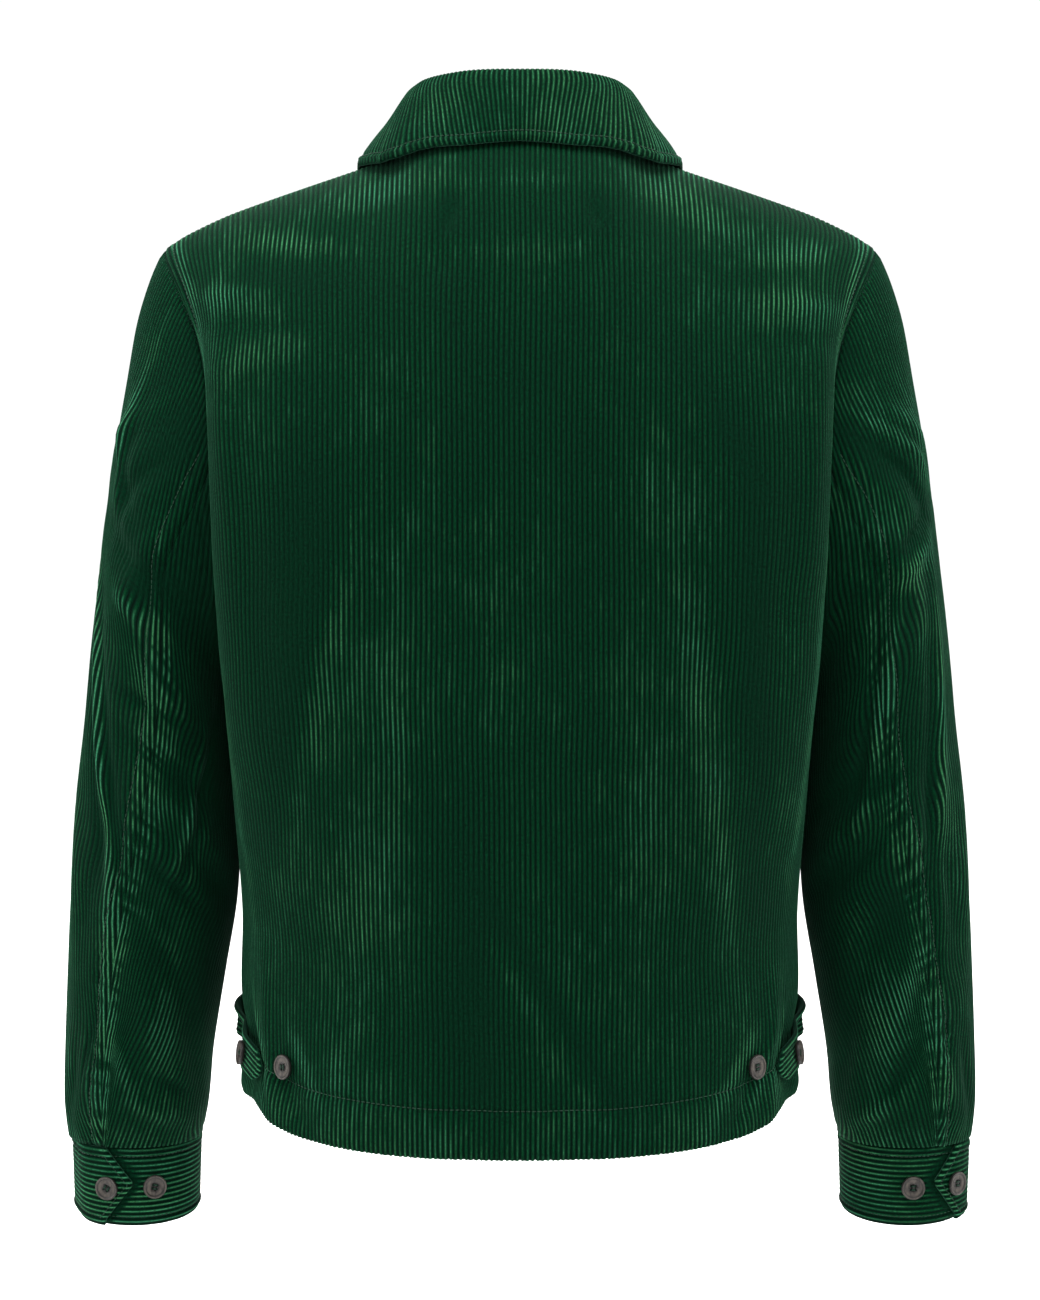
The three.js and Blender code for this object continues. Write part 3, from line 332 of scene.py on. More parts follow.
LEFT_SLEEVE_NAP_AND_PAINTED_LIGHT = (
    (34, -330, 0, 210, 20, -1.0), (70, -200, 0, 120, 24, -0.9), (120, -190, 10, 110, 12, -0.5),
    (138, -362, 12, 110, 4, 1.5), (112, -262, 70, 40, 14, -0.8), (92, -336, 0, 44, 13, 0.7),
    (112, -540, 3, 80, 8, 0.7), (166, -470, 4, 150, 9, 0.6), (70, -560, 0, 60, 18, 0.6),
    (112, -110, 10, 60, 22, -0.7), (140, -330, 3, 60, 9, 0.8), (72, -360, -12, 70, 6, 0.4),
    (54, -440, -14, 60, 5, 0.4), (128, -230, 30, 40, 9, -0.5), (84, -540, 0, 70, 14, -0.45),
    (150, -200, 0, 80, 12, 0.35),
)
RIGHT_SLEEVE_NAP_AND_PAINTED_LIGHT = (
    (34, -350, 0, 210, 20, -1.0), (64, -180, 0, 80, 14, -0.5), (84, -355, 8, 66, 7, 0.55),
    (122, -300, 0, 60, 10, 0.6), (126, -236, 60, 34, 6, -0.8), (122, -262, 60, 30, 8, 0.6),
    (104, -200, 0, 50, 10, 0.35), (140, -420, 0, 120, 10, 0.4), (70, -540, 0, 80, 18, 0.5),
    (112, -110, 10, 60, 22, -0.7), (150, -180, 0, 70, 12, 0.35), (116, -470, 4, 90, 7, 0.3),
)


def fold_depth(folds: tuple[tuple[float, ...], ...], across: np.ndarray, z: np.ndarray) -> np.ndarray:
    """Add up soft folds.

    Args:
        folds: Rows of place across, height, lean in degrees, half length, half width and depth.
        across: Places across the cloth, in the folds' own measure.
        z: Heights.

    Returns:
        How far the cloth stands out at each place, negative in a trough.
    """
    depth = np.zeros_like(np.asarray(z, dtype=float))
    for at, height, lean, half_length, half_width, deep in folds:
        dx = across - at
        dz = z - height
        c = math.cos(math.radians(lean))
        k = math.sin(math.radians(lean))
        along = (dz * c + dx * k) / half_length
        beside = (dx * c - dz * k) / half_width
        depth += deep * np.exp(-1.4 * (along * along + beside * beside))
    return depth


def meander(across: np.ndarray | float, along: np.ndarray | float, seed: float) -> np.ndarray:
    """How far the ribs wander sideways, a millimetre or two, down cloth that isn't pulled straight."""
    slow = 1.2 * np.sin(along / 23 + 1.9 * np.sin(across / 47 + seed) + seed)
    return slow + 0.6 * np.sin(along / 12.5 + across / 29 + 2.3 * seed)


def uneven_wave(at: np.ndarray | float, length: float, seed: float) -> np.ndarray:
    """A wave between 0 and 1 whose crests are uneven in spacing and height, as in puckered cloth."""
    x = np.asarray(at, dtype=float) * (2 * math.pi / length)
    bend = 1.3 * np.sin(x * 0.27 + seed) + 0.9 * np.sin(x * 0.113 + 2.1 * seed)
    height = 0.72 + 0.28 * np.sin(x * 0.19 + 3.7 * seed)
    return height * (0.5 + 0.5 * np.sin(x + bend))


@dataclass(frozen=True)
class Ribs:
    """The raised ribs of the corduroy: eight to the inch, round-topped, with narrow grooves between."""

    crest: float = 0.22
    groove: float = 0.36

    def height(self, across: np.ndarray) -> np.ndarray:
        """How far the cloth stands out at distances across the ribs."""
        from_crest = np.abs(across / RIB_PITCH - np.floor(across / RIB_PITCH) - 0.5) * 2
        return self.crest - (self.crest + self.groove) * from_crest**2.2


RIBS = Ribs()


@dataclass(frozen=True)
class SewnEdge:
    """How cloth rolls off at its edge, swells beside it and sinks under its row of stitching.

    roll, groove and swell are heights. The places and widths are distances from the edge.
    """

    roll: float
    roll_width: float
    groove: float
    groove_at: float
    groove_width: float
    swell: float = 0.0
    swell_at: float = 0.0
    swell_width: float = 1.0

    def fall(self, distance: np.ndarray) -> np.ndarray:
        """The roll at the very edge."""
        return -self.roll * fade(distance, self.roll_width)

    def seam(self, distance: np.ndarray) -> np.ndarray:
        """The swelling and the groove beside the edge."""
        swell = self.swell * bell(distance - self.swell_at, self.swell_width)
        return swell - self.groove * bell(distance - self.groove_at, self.groove_width)

    def relief(self, distance: np.ndarray) -> np.ndarray:
        """Both together."""
        return self.fall(distance) + self.seam(distance)


ARMHOLE_EDGE = SewnEdge(0.75, 3.2, 0.8, 6.0, 1.3, 0.5, 3.4, 2.0)
FRONT_EDGE = SewnEdge(0.9, 2.6, 0.45, 6.0, 1.1)
ELBOW_EDGE = SewnEdge(0.8, 3.0, 0.55, 8.4, 1.2, 0.75, 4.4, 2.6)
CUFF_EDGE = SewnEdge(1.0, 3.4, 0.8, 5.8, 1.3, 0.6, 3.2, 1.8)
TAB_EDGE = SewnEdge(0.9, 3.0, 0.4, 4.5, 1.1)
COLLAR_EDGE = SewnEdge(1.1, 3.4, 0.75, 6.3, 1.3, 0.5, 3.6, 1.8)


@dataclass
class ClothRow:
    """One row of a piece of cloth: outer points, directions into the cloth, thickness and nap, which carries
    painted light and shade.
    """

    outer: np.ndarray
    inward: np.ndarray
    thickness: np.ndarray
    nap_and_painted_light: np.ndarray | float = 0.0

    def on_ribs(self, u: np.ndarray) -> np.ndarray:
        """Points a little above the ribs' middle height, for thread to lie on."""
        return self.outer + self.inward * (RIBS.height(u)[:, None] - THREAD_LIFT)

    def proud(self) -> np.ndarray:
        """Points just clear of the outer face, for thread to lie on."""
        return self.outer - self.inward * BAND_THREAD_LIFT


@dataclass
class ClothGrid:
    """A closed shell of cloth made from rows of points whose columns keep to the ribs.

    dressed and plain each take a row number and the places across it, and return a ClothRow. low and high
    are the places of the piece's two side edges at each row, and along is its distance down the ribs.
    """

    name: str
    low: np.ndarray
    high: np.ndarray
    along: np.ndarray
    dressed: object
    plain: object
    step: float = COLUMN_STEP
    inner_rows: int = 3
    inner_columns: int = 64
    points: list = field(default_factory=list)
    rib: list = field(default_factory=list)
    run: list = field(default_factory=list)
    pile: list = field(default_factory=list)
    nap_and_painted_light: list = field(default_factory=list)

    def columns(self, r: int) -> tuple[np.ndarray, np.ndarray]:
        """The distinct places across one row, and for every column of the grid which of them it takes."""
        first = math.floor(self.low.min() / self.step)
        last = math.ceil(self.high.max() / self.step)
        places = np.arange(first, last + 1) * self.step
        near = 0.3 * self.step
        places = np.where(places < self.low[r] + near, self.low[r], places)
        places = np.where(places > self.high[r] - near, self.high[r], places)
        fresh = np.concatenate(([True], np.diff(places) > 1e-9))
        return places[fresh], np.cumsum(fresh) - 1

    def keep(self, points: np.ndarray, across: np.ndarray, along: float, pile: float, nap_and_painted_light: object) -> None:
        """Store one row of points."""
        self.points.append(points)
        self.rib.append(across / RIB_PITCH)
        self.run.append(np.full(len(points), along))
        self.pile.append(np.full(len(points), pile))
        self.nap_and_painted_light.append(np.full(len(points), 0.0) + nap_and_painted_light)

    def outer_face(self) -> tuple[np.ndarray, np.ndarray]:
        """Place the outer points and return their numbers and the outer triangles."""
        ids = []
        start = 0
        for r in range(len(self.low)):
            places, which = self.columns(r)
            cloth = self.dressed(r, places)
            self.keep(cloth.outer, places, self.along[r], 1.0, cloth.nap_and_painted_light)
            ids.append(which + start)
            start += len(places)
        ids = np.array(ids)
        return ids, grid_triangles(ids)

    def inner_face(self, start: int) -> tuple[np.ndarray, np.ndarray, list, np.ndarray]:
        """Place the coarser inner points and return their numbers, triangles, rows and shares across."""
        rows = sorted({*range(0, len(self.low), self.inner_rows), 1, len(self.low) - 2, len(self.low) - 1})
        shares = np.linspace(0, 1, self.inner_columns + 1)
        ids = []
        for r in rows:
            places = self.low[r] + (self.high[r] - self.low[r]) * shares
            cloth = self.plain(r, places)
            inner = cloth.outer + cloth.inward * cloth.thickness[:, None]
            self.keep(inner, places, self.along[r], 0.0, 0.0)
            ids.append(np.arange(len(places)) + start)
            start += len(places)
        ids = np.array(ids)
        return ids, grid_triangles(ids)[:, ::-1], rows, shares

    def build(self) -> "MeshData":
        """Make the closed shell.

        Returns:
            The mesh's points, triangles and cloth measures.
        """
        outer_ids, outer = self.outer_face()
        start = sum(len(p) for p in self.points)
        inner_ids, inner, rows, shares = self.inner_face(start)
        rim = []
        count = len(self.low)
        for r, flip in ((0, False), (count - 1, True)):
            places, _ = self.columns(r)
            chain = np.unique(outer_ids[r])
            at = (places - self.low[r]) / (self.high[r] - self.low[r])
            other = inner_ids[0 if r == 0 else -1]
            rim += zip_chains(chain, at, other, shares, flip)
        heights = np.arange(count) / (count - 1)
        inner_heights = np.array(rows) / (count - 1)
        rim += zip_chains(outer_ids[:, -1], heights, inner_ids[:, -1], inner_heights, False)
        rim += zip_chains(outer_ids[:, 0], heights, inner_ids[:, 0], inner_heights, True)
        triangles = np.concatenate((outer, inner, np.array(rim)))
        a, b, c = triangles.T
        triangles = triangles[(a != b) & (b != c) & (c != a)]
        points = np.concatenate(self.points)
        return MeshData(
            self.name,
            points,
            triangles,
            {
                "rib": np.concatenate(self.rib),
                "along": np.concatenate(self.run),
                "pile": np.concatenate(self.pile),
                "nap_and_painted_light": np.concatenate(self.nap_and_painted_light),
            },
        )


def grid_triangles(ids: np.ndarray) -> np.ndarray:
    """Two triangles for every cell of a grid of point numbers."""
    a, b = ids[:-1, :-1].ravel(), ids[:-1, 1:].ravel()
    d, c = ids[1:, :-1].ravel(), ids[1:, 1:].ravel()
    return np.concatenate((np.stack((a, b, c), 1), np.stack((a, c, d), 1)))


def strap_shell(
    name: str, ends: tuple[float, float], along: np.ndarray, row: object, columns: int
) -> "MeshData":
    """Make the closed shell of a piece whose ribs run lengthwise between two even edges.

    Args:
        name: The node it stands for.
        ends: Places of its two edges across the ribs.
        along: Each row's distance down the ribs.
        row: Takes a row number, places across and whether the ribs are wanted, and returns a ClothRow.
        columns: How many cells the inner face has across.

    Returns:
        The mesh.
    """
    low, high = (np.full(len(along), end) for end in ends)
    grid = ClothGrid(name, low, high, along, lambda r, u: row(r, u, True), lambda r, u: row(r, u, False))
    grid.inner_columns = columns
    return grid.build()


def zip_chains(a: np.ndarray, at_a: np.ndarray, b: np.ndarray, at_b: np.ndarray, flip: bool) -> list:
    """Join an outer and an inner chain of points by triangles.

    Args:
        a: Numbers of the outer chain's points.
        at_a: How far along each of them is, from 0 to 1.
        b: Numbers of the inner chain's points.
        at_b: How far along each of them is.
        flip: Whether the outer face runs against the chain.

    Returns:
        The triangles.
    """
    triangles = []
    i = 0
    j = 0
    while i < len(a) - 1 or j < len(b) - 1:
        if j == len(b) - 1 or (i < len(a) - 1 and at_a[i + 1] <= at_b[j + 1]):
            triangles.append((a[i + 1], a[i], b[j]))
            i += 1
        else:
            triangles.append((a[i], b[j], b[j + 1]))
            j += 1
    if flip:
        return [(p, r, q) for p, q, r in triangles]
    return triangles


@dataclass
class MeshData:
    """A mesh in millimetres, with any measures that its material reads."""

    name: str
    points: np.ndarray
    triangles: np.ndarray
    measures: dict[str, np.ndarray] = field(default_factory=dict)

    def area(self) -> float:
        """Surface in square millimetres."""
        a, b, c = (self.points[self.triangles[:, k]] for k in range(3))
        return float(np.linalg.norm(np.cross(b - a, c - a), axis=1).sum() / 2)

    def make(self, smooth_faces: bool = True) -> bpy.types.Object:
        """Turn the mesh into a Blender object in metres, with its faces pointing out."""
        a, b, c = (self.points[self.triangles[:, k]] for k in range(3))
        triangles = self.triangles
        if np.einsum("ij,ij->i", a, np.cross(b, c)).sum() < 0:
            triangles = triangles[:, ::-1]
        mesh = bpy.data.meshes.new(self.name)
        mesh.vertices.add(len(self.points))
        mesh.vertices.foreach_set("co", (self.points * MM).astype(np.float32).ravel())
        mesh.loops.add(triangles.size)
        mesh.loops.foreach_set("vertex_index", triangles.astype(np.int32).ravel())
        mesh.polygons.add(len(triangles))
        mesh.polygons.foreach_set("loop_start", np.arange(0, triangles.size, 3, dtype=np.int32))
        mesh.update(calc_edges=True)
        mesh.polygons.foreach_set("use_smooth", np.full(len(triangles), smooth_faces))
        for name, values in self.measures.items():
            layer = mesh.attributes.new(name, "FLOAT", "POINT")
            layer.data.foreach_set("value", values.astype(np.float32))
        if "rib" in self.measures:
            layer = mesh.uv_layers.new(name="cloth")
            corners = triangles.ravel()
            across = self.measures["rib"][corners] * RIB_PITCH * MM
            along = self.measures["along"][corners] * MM
            layer.data.foreach_set("uv", np.stack((across, along), 1).astype(np.float32).ravel())
        mesh.validate()
        piece = bpy.data.objects.new(self.name, mesh)
        bpy.context.scene.collection.objects.link(piece)
        return piece


@dataclass(frozen=True)
class Section:
    """Half of the body ring at one height, from the centre back to the centre front."""

    x: np.ndarray
    y: np.ndarray
    run: np.ndarray
    seam: float

    @property
    def total(self) -> float:
        """Its whole length."""
        return float(self.run[-1])


@dataclass(frozen=True)
class Panel:
    """How the back or the front of the body ring is measured and closes over the shoulder."""

    sign: int
    neck_depth: float
    neck_rise: float
    neck_slope: float
    lean_from: float
    armhole: str
    folds: tuple[tuple[float, ...], ...]

    def distance(self, section: Section, s: np.ndarray | float) -> np.ndarray | float:
        """Turn a distance from this panel's centre line into one from the centre back."""
        return s if self.sign < 0 else section.total - s


@dataclass
class BodyShape:
    """The ring of cloth round the body, by distance from a centre line and by row.

    A row is -1 at the hem, 0 at the armpit and 1 at the shoulder seam or the neckline.
    """

    armpit_z: float = -305
    shoulder_tip_z: float = -61
    hem_z: float = -600
    hem_tilt: float = 0.135
    hem_rise_at: float = 202
    hem_rise_width: float = 28
    hem_rise: float = 6
    neck_half_width: float = 78
    neck_softness: float = 70
    shoulder_half_width: float = 228
    shoulder_slope_drop: float = 14
    straight_share: float = 0.22
    quarter_steps: int = 150
    side_steps: int = 14
    back: Panel = Panel(-1, 60, 18, 36, 0.5, "back", BACK_FOLDS)
    front: Panel = Panel(1, 88, -62, 46, 0.35, "front", FRONT_FOLDS)
    known: dict[float, Section] = field(default_factory=dict)

    def row_height(self, v: float) -> float:
        """Height of a row before it closes over the shoulder."""
        end = self.hem_z if v <= 0 else self.shoulder_tip_z
        return float(lerp(self.armpit_z, end, abs(v)))

    def section(self, z: float) -> Section:
        """The half ring at one height."""
        key = round(z, 3)
        if key in self.known:
            return self.known[key]
        r = {name: float(BODY.read(name, z)) for name in BODY.columns[1:]}
        a = (math.pi / 2) * (np.arange(self.quarter_steps + 1) / self.quarter_steps) ** 1.3
        sine = np.sin(a)
        cosine = np.maximum(0, np.cos(a))
        back_x = r["wide"] * sine ** (2 / r["backCurve"])
        back_y = r["wideY"] - (r["back"] + r["wideY"]) * cosine ** (2 / r["backCurve"])
        t = np.arange(1, self.side_steps) / self.side_steps
        side_x = lerp(r["wide"], r["side"], smooth(0, 1, t))
        side_y = lerp(r["wideY"], r["sideY"], t)
        front_x = (r["side"] * sine ** (2 / r["frontCurve"]))[::-1]
        front_y = (r["sideY"] + (r["front"] - r["sideY"]) * cosine ** (2 / r["frontCurve"]))[::-1]
        x = np.concatenate((back_x, side_x, front_x))
        y = np.concatenate((back_y, side_y, front_y))
        run = np.concatenate(([0], np.cumsum(np.hypot(np.diff(x), np.diff(y)))))
        i = int(np.argmax(y >= 0))
        seam = float(lerp(run[i - 1], run[i], -y[i - 1] / (y[i] - y[i - 1])))
        self.known[key] = Section(x, y, run, seam)
        return self.known[key]

    def edge(self, panel: Panel, v: float) -> float:
        """Distance from the centre line to the side seam or the armhole."""
        section = self.section(self.row_height(min(v, 0)))
        width = panel.distance(section, section.seam)
        return float(width - (ARMHOLE.read(panel.armhole, v) if v > 0 else 0))

    def points(self, panel: Panel, s: np.ndarray, v: float) -> np.ndarray:
        """Plain outer points of one row.

        Args:
            panel: The back or the front.
            s: Distances from the centre line, negative on the wearer's left.
            v: The row.

        Returns:
            One point for each distance.
        """
        away = np.abs(s)
        height = self.row_height(v)
        section = self.section(height)
        distance = np.clip(panel.distance(section, away), 0, section.total)
        sx = np.interp(distance, section.run, section.x)
        sy = np.interp(distance, section.run, section.y)
        side = np.where(s < 0, -1.0, 1.0)
        if v <= 0:
            lifted = smooth(-0.72, -1, v) * self.hem_rise if panel.sign < 0 else 0
            z = height - self.hem_tilt * v * sy + lifted * bell(away - self.hem_rise_at, self.hem_rise_width)
            return np.stack((side * sx, sy, z), 1)
        top_x = away * self.shoulder_half_width / self.edge(panel, 1)
        across = np.clip(top_x / self.neck_half_width, 0, 1)
        neck = np.sqrt(1 - across * across)
        softness = (1 - v) * self.neck_softness if panel.sign < 0 else 0
        spread = np.linspace(-1, 1, 7)[:, None] * softness
        beside = np.clip((top_x + spread) / self.neck_half_width, 0, 1)
        top_y = panel.sign * panel.neck_depth * np.sqrt(1 - beside * beside).mean(0)
        in_neck = top_x < self.neck_half_width
        top_z = np.where(in_neck, panel.neck_rise * neck * neck, SHOULDER.read("z", top_x))
        control_z = top_z - lerp(panel.neck_slope, self.shoulder_slope_drop, smooth(0, 1, across))
        low_z = lerp(self.armpit_z, top_z, self.straight_share)
        x = lerp(sx, top_x, smooth(panel.lean_from, 1, v))
        if v < self.straight_share:
            z = lerp(self.armpit_z, low_z, v / self.straight_share)
            return np.stack((side * x, sy, z), 1)
        t = (v - self.straight_share) / (1 - self.straight_share)
        y = lerp(sy, top_y, t * t)
        z = (1 - t) ** 2 * low_z + 2 * t * (1 - t) * control_z + t * t * top_z
        return np.stack((side * x, y, z), 1)

    def normals(self, panel: Panel, s: np.ndarray, v: float) -> np.ndarray:
        """Outward directions of one row."""
        here = self.points(panel, s, v)
        outward = unit(here * (1, 1, 0)) + np.array((0, 0, 1.2 * max(v, 0) ** 2))
        row = min(max(v, -0.995), 0.995)
        across = self.points(panel, s + 1.2, row) - self.points(panel, s - 1.2, row)
        down = self.points(panel, s, row + 0.004) - self.points(panel, s, row - 0.004)
        return facing(unit(np.cross(across, down)), outward)

    def face(self, panel: Panel, s: np.ndarray, v: float, lift: np.ndarray | float = 0) -> np.ndarray:
        """Outer points of one row with the solids' own folds, lifted by any layer under them."""
        point = self.points(panel, s, v)
        fade = 1 - smooth(0.93, 1, v)
        depth = fold_depth(panel.folds, np.abs(s), point[:, 2]) * fade + lift
        return point + self.normals(panel, s, v) * np.reshape(depth, (-1, 1))

    def over(self, x: float, y: float) -> tuple[np.ndarray, np.ndarray]:
        """Point and direction of the body's outer face over a plan position near the neck."""
        panel = self.back if y < 0 else self.front
        s = np.array([abs(x) * self.edge(panel, 1) / self.shoulder_half_width])
        low = 0.05
        high = 1.0
        for _ in range(30):
            middle = (low + high) / 2
            if abs(self.points(panel, s, middle)[0, 1]) > abs(y):
                low = middle
            else:
                high = middle
        normal = self.normals(panel, s, low)[0]
        normal[0] *= 1 if x >= 0 else -1
        return np.array((x, y, self.points(panel, s, low)[0, 2])), normal

    def round_side(self, distance: float, z: float, folded: bool) -> tuple[np.ndarray, np.ndarray]:
        """Point and direction at a height and a distance round from the side seam, positive forwards."""
        panel = self.front if distance >= 0 else self.back
        below = self.armpit_z - z
        row = -below / (self.armpit_z - self.hem_z)
        s = 0.0
        for _ in range(4):
            s = self.edge(panel, row) - abs(distance)
            deep = self.points(panel, np.array([s]), row)[0, 1]
            row = -below / (self.armpit_z - self.hem_z - self.hem_tilt * deep)
        at = np.array([s])
        point = (self.face(panel, at, row) if folded else self.points(panel, at, row))[0]
        return point, self.normals(panel, at, row)[0]


SHAPE = BodyShape()
HEM_ROW = -1 + HEM_TURN_UP / (SHAPE.armpit_z - SHAPE.hem_z)
ARMHOLE_MIDDLE = np.array((196.0, 0.0, -185.0))
TURNS = np.linspace(-0.3, 1.1, 701)
LEVELS = np.linspace(-660.0, -50.0, 123)


def towards_armhole(points: np.ndarray) -> np.ndarray:
    """Directions from points to the middle of their own side's armhole."""
    middle = np.tile(ARMHOLE_MIDDLE, (len(points), 1))
    middle[:, 0] *= np.where(points[:, 0] < 0, -1, 1)
    return unit(middle - points)


def body_rows() -> np.ndarray:
    """The rows of a body panel, closer together at the hem's stitching, the armpit and the shoulder."""
    hem = HEM_ROW
    close = [hem + d for d in (-0.02, -0.013, -0.008, -0.004, 0, 0.004, 0.008, 0.013, 0.02)]
    rows = [-1, -0.997, -0.992, *np.linspace(-0.982, hem - 0.03, 6), *close]
    rows += [*np.linspace(hem + 0.032, -0.012, 46), *np.linspace(0, 0.1, 13)]
    rows += [*np.linspace(0.116, 0.968, 44), 0.978, 0.986, 0.993, 1]
    return np.array(rows)


@dataclass
class BodyPanel:
    """The back or one front: ribs, folds, seams and hem over the plain ring."""

    name: str
    panel: Panel
    creases: tuple[tuple[float, ...], ...] = ()
    naps: tuple[tuple[float, ...], ...] = ()
    side: Side | None = None
    front_overlap: float = 18
    hem_puff: float = 0.7
    shoulder_length: float = 230

    def sign(self) -> int:
        """1 where distances count to the wearer's right, else -1."""
        return -1 if self.side is Side.LEFT else 1

    def lift(self, u: np.ndarray) -> np.ndarray:
        """How far the upper front is lifted over the lower one."""
        if self.side is not Side.LEFT:
            return np.zeros_like(u)
        return (CLOTH + LAYER_GAP) * (1 - smooth(20, 34, u))

    def low_edge(self, v: float) -> float:
        """Place of the edge across from the armhole."""
        if self.side is None:
            return -self.high_edge(v)
        return -self.front_overlap

    def high_edge(self, v: float) -> float:
        """Place of the side seam or the armhole."""
        return SHAPE.edge(self.panel, v) - SEAM_GAP / 2

    def inward(self, u: np.ndarray, v: float, point: np.ndarray, reach: float) -> np.ndarray:
        """Directions into the cloth, which turn towards the armhole beside its edge."""
        normal = SHAPE.normals(self.panel, u * self.sign(), v)
        inward = -normal
        if v == 1:
            top_x = np.abs(u) * SHAPE.shoulder_half_width / SHAPE.edge(self.panel, 1)
            level = unit(inward * (1, 0, 1))
            inward = np.where((top_x >= SHAPE.neck_half_width)[:, None], level, inward)
        if v >= 0:
            far = self.high_edge(v) - np.abs(u)
            share = (1 - smooth(0, reach, far))[:, None] if reach > 0 else (far < 1e-6)[:, None]
            inward = unit(lerp(inward, towards_armhole(point), share))
        return inward

    def surface(self, u: np.ndarray, v: float) -> np.ndarray:
        """The solids' own outer face along one row."""
        row = 1 - SEAM_GAP / 2 / 220 if v == 1 else v
        calm = smooth(2, 22, self.high_edge(v) - np.abs(u)) * smooth(-1, -0.9, v) * (1 - smooth(0.9, 1, v))
        if self.side is not None:
            calm = calm * smooth(22, 44, u)
        calm = calm * (0.3 + 0.7 * smooth(90, 190, np.abs(u)))
        wander = calm * meander(u * self.sign(), SHAPE.row_height(v), 0.8)
        point = SHAPE.face(self.panel, u * self.sign() + wander, row, self.lift(u))
        depth = fold_depth(self.creases, u * self.sign(), point[:, 2]) * (1 - smooth(0.9, 1, v)) * (v > -1)
        return point + SHAPE.normals(self.panel, u * self.sign(), v) * depth[:, None]

    def plain(self, u: np.ndarray, v: float) -> ClothRow:
        """One row as the inner face needs it."""
        point = self.surface(u, v)
        thick = np.full(len(u), CLOTH)
        if v <= HEM_ROW:
            thick += HEM_EXTRA * (smooth(20, 34, u) if self.side is Side.LEFT else 1)
        return ClothRow(point, self.inward(u, v, point, 0), thick)

    def dressed(self, u: np.ndarray, v: float) -> ClothRow:
        """One row of the outer face with its ribs, creases, seams and stitching."""
        point = self.surface(u, v)
        normal = SHAPE.normals(self.panel, u * self.sign(), v)
        far = self.high_edge(v) - np.abs(u)
        relief = RIBS.height(u) + ARMHOLE_EDGE.fall(far)
        if v > 0:
            relief += smooth(0, 0.04, v) * ARMHOLE_EDGE.seam(far)
            relief += ARMHOLE_EDGE.fall((1 - v) * self.shoulder_length)
        else:
            relief -= 0.5 * uneven_wave(point[:, 2] + 40 * np.sign(u), 17, 0.4) * bell(far, 7)
        if self.side is not None:
            relief += FRONT_EDGE.relief(u + self.front_overlap)
        relief += self.hem_relief(u, v)
        scallop = 0.42 * (1 - smooth(-1, -0.993, v)) * np.cos(2 * math.pi * u / RIB_PITCH)
        outer = point + normal * relief[:, None]
        outer[:, 2] += scallop
        return ClothRow(outer, -normal, np.full(len(u), CLOTH), self.nap_and_painted_light(u, v, point[:, 2], far))

    def nap_and_painted_light(self, u: np.ndarray, v: float, z: np.ndarray, far: np.ndarray) -> np.ndarray:
        """Brushed and pressed pile with painted light and shade: the listed patches, painted highlights and
        shade on the creases, a painted highlight on the ribs beside the armhole and the side seam, and
        painted highlights on the shoulder tops and the hem.
        """
        shoulder = float(smooth(0.93, 1, v))
        armhole = float(smooth(-0.1, 0.05, v))
        side = float(smooth(-0.7, -0.5, v)) * (1 - armhole)
        hem = 1 - float(smooth(HEM_ROW - 0.03, HEM_ROW, v))
        across = u * self.sign()
        chosen = fold_depth(self.naps, across, z) + 0.35 * fold_depth(self.creases, across, z)
        beside = 0.9 * (armhole * bell(far - 10, 5) + side * bell(far - 24, 9))
        return chosen + beside + 0.6 * shoulder + 0.2 * hem

    def hem_relief(self, u: np.ndarray, v: float) -> np.ndarray:
        """The turned-up hem: a soft band, pulled in and puckered along its row of stitching."""
        up = (v - HEM_ROW) * (SHAPE.armpit_z - SHAPE.hem_z)
        band = self.hem_puff * smooth(-HEM_TURN_UP, -HEM_TURN_UP + 4, up) * (1 - smooth(-7, -0.5, up))
        groove = -0.85 * bell(up, 1.5)
        pucker = uneven_wave(u, 12.5, 1.7) * bell(up + 5.5, 6.5)
        above = uneven_wave(u, 15.0, 0.9) * bell(up - 6, 7)
        edge = 0.9 * (1 - float(smooth(-1, -0.99, v)))
        return float(band) + groove - 0.75 * pucker - 0.4 * above - edge

    def build(self) -> MeshData:
        """Make the panel's closed shell."""
        rows = body_rows()
        high = np.array([self.high_edge(v) for v in rows])
        low = np.array([self.low_edge(v) for v in rows])
        middle = np.array([0.6 * high[0]])
        spine = np.array([SHAPE.points(self.panel, middle, v)[0] for v in rows])
        along = distances(spine)
        grid = ClothGrid(
            self.name,
            low,
            high,
            along,
            lambda r, u: self.dressed(u, rows[r]),
            lambda r, u: self.plain(u, rows[r]),
            inner_columns=110 if self.side is None else 56,
        )
        return grid.build()

    def stitch_paths(self) -> list[np.ndarray]:
        """Rows of stitching: along the hem's turn-up, beside each armhole and down a front's edge."""
        paths = []
        far = self.high_edge(HEM_ROW) - 2
        near = -far if self.side is None else -self.front_overlap + 1
        u = np.arange(near, far, 1.6)
        paths.append(self.on_cloth(u, HEM_ROW))
        for way in (1, -1) if self.side is None else (1,):
            run = []
            for v in np.linspace(0.035, 0.99, 130):
                at = way * (self.high_edge(v) - ARMHOLE_EDGE.groove_at)
                run.append(self.on_cloth(np.array([at]), v)[0])
            paths.append(np.array(run))
        if self.side is not None:
            at = np.array([FRONT_EDGE.groove_at - self.front_overlap])
            paths.append(np.array([self.on_cloth(at, v)[0] for v in np.linspace(-0.985, 0.97, 220)]))
        return paths

    def on_cloth(self, u: np.ndarray, v: float) -> np.ndarray:
        """Points on the dressed cloth, for thread to lie on."""
        return self.dressed(u, v).on_ribs(u)


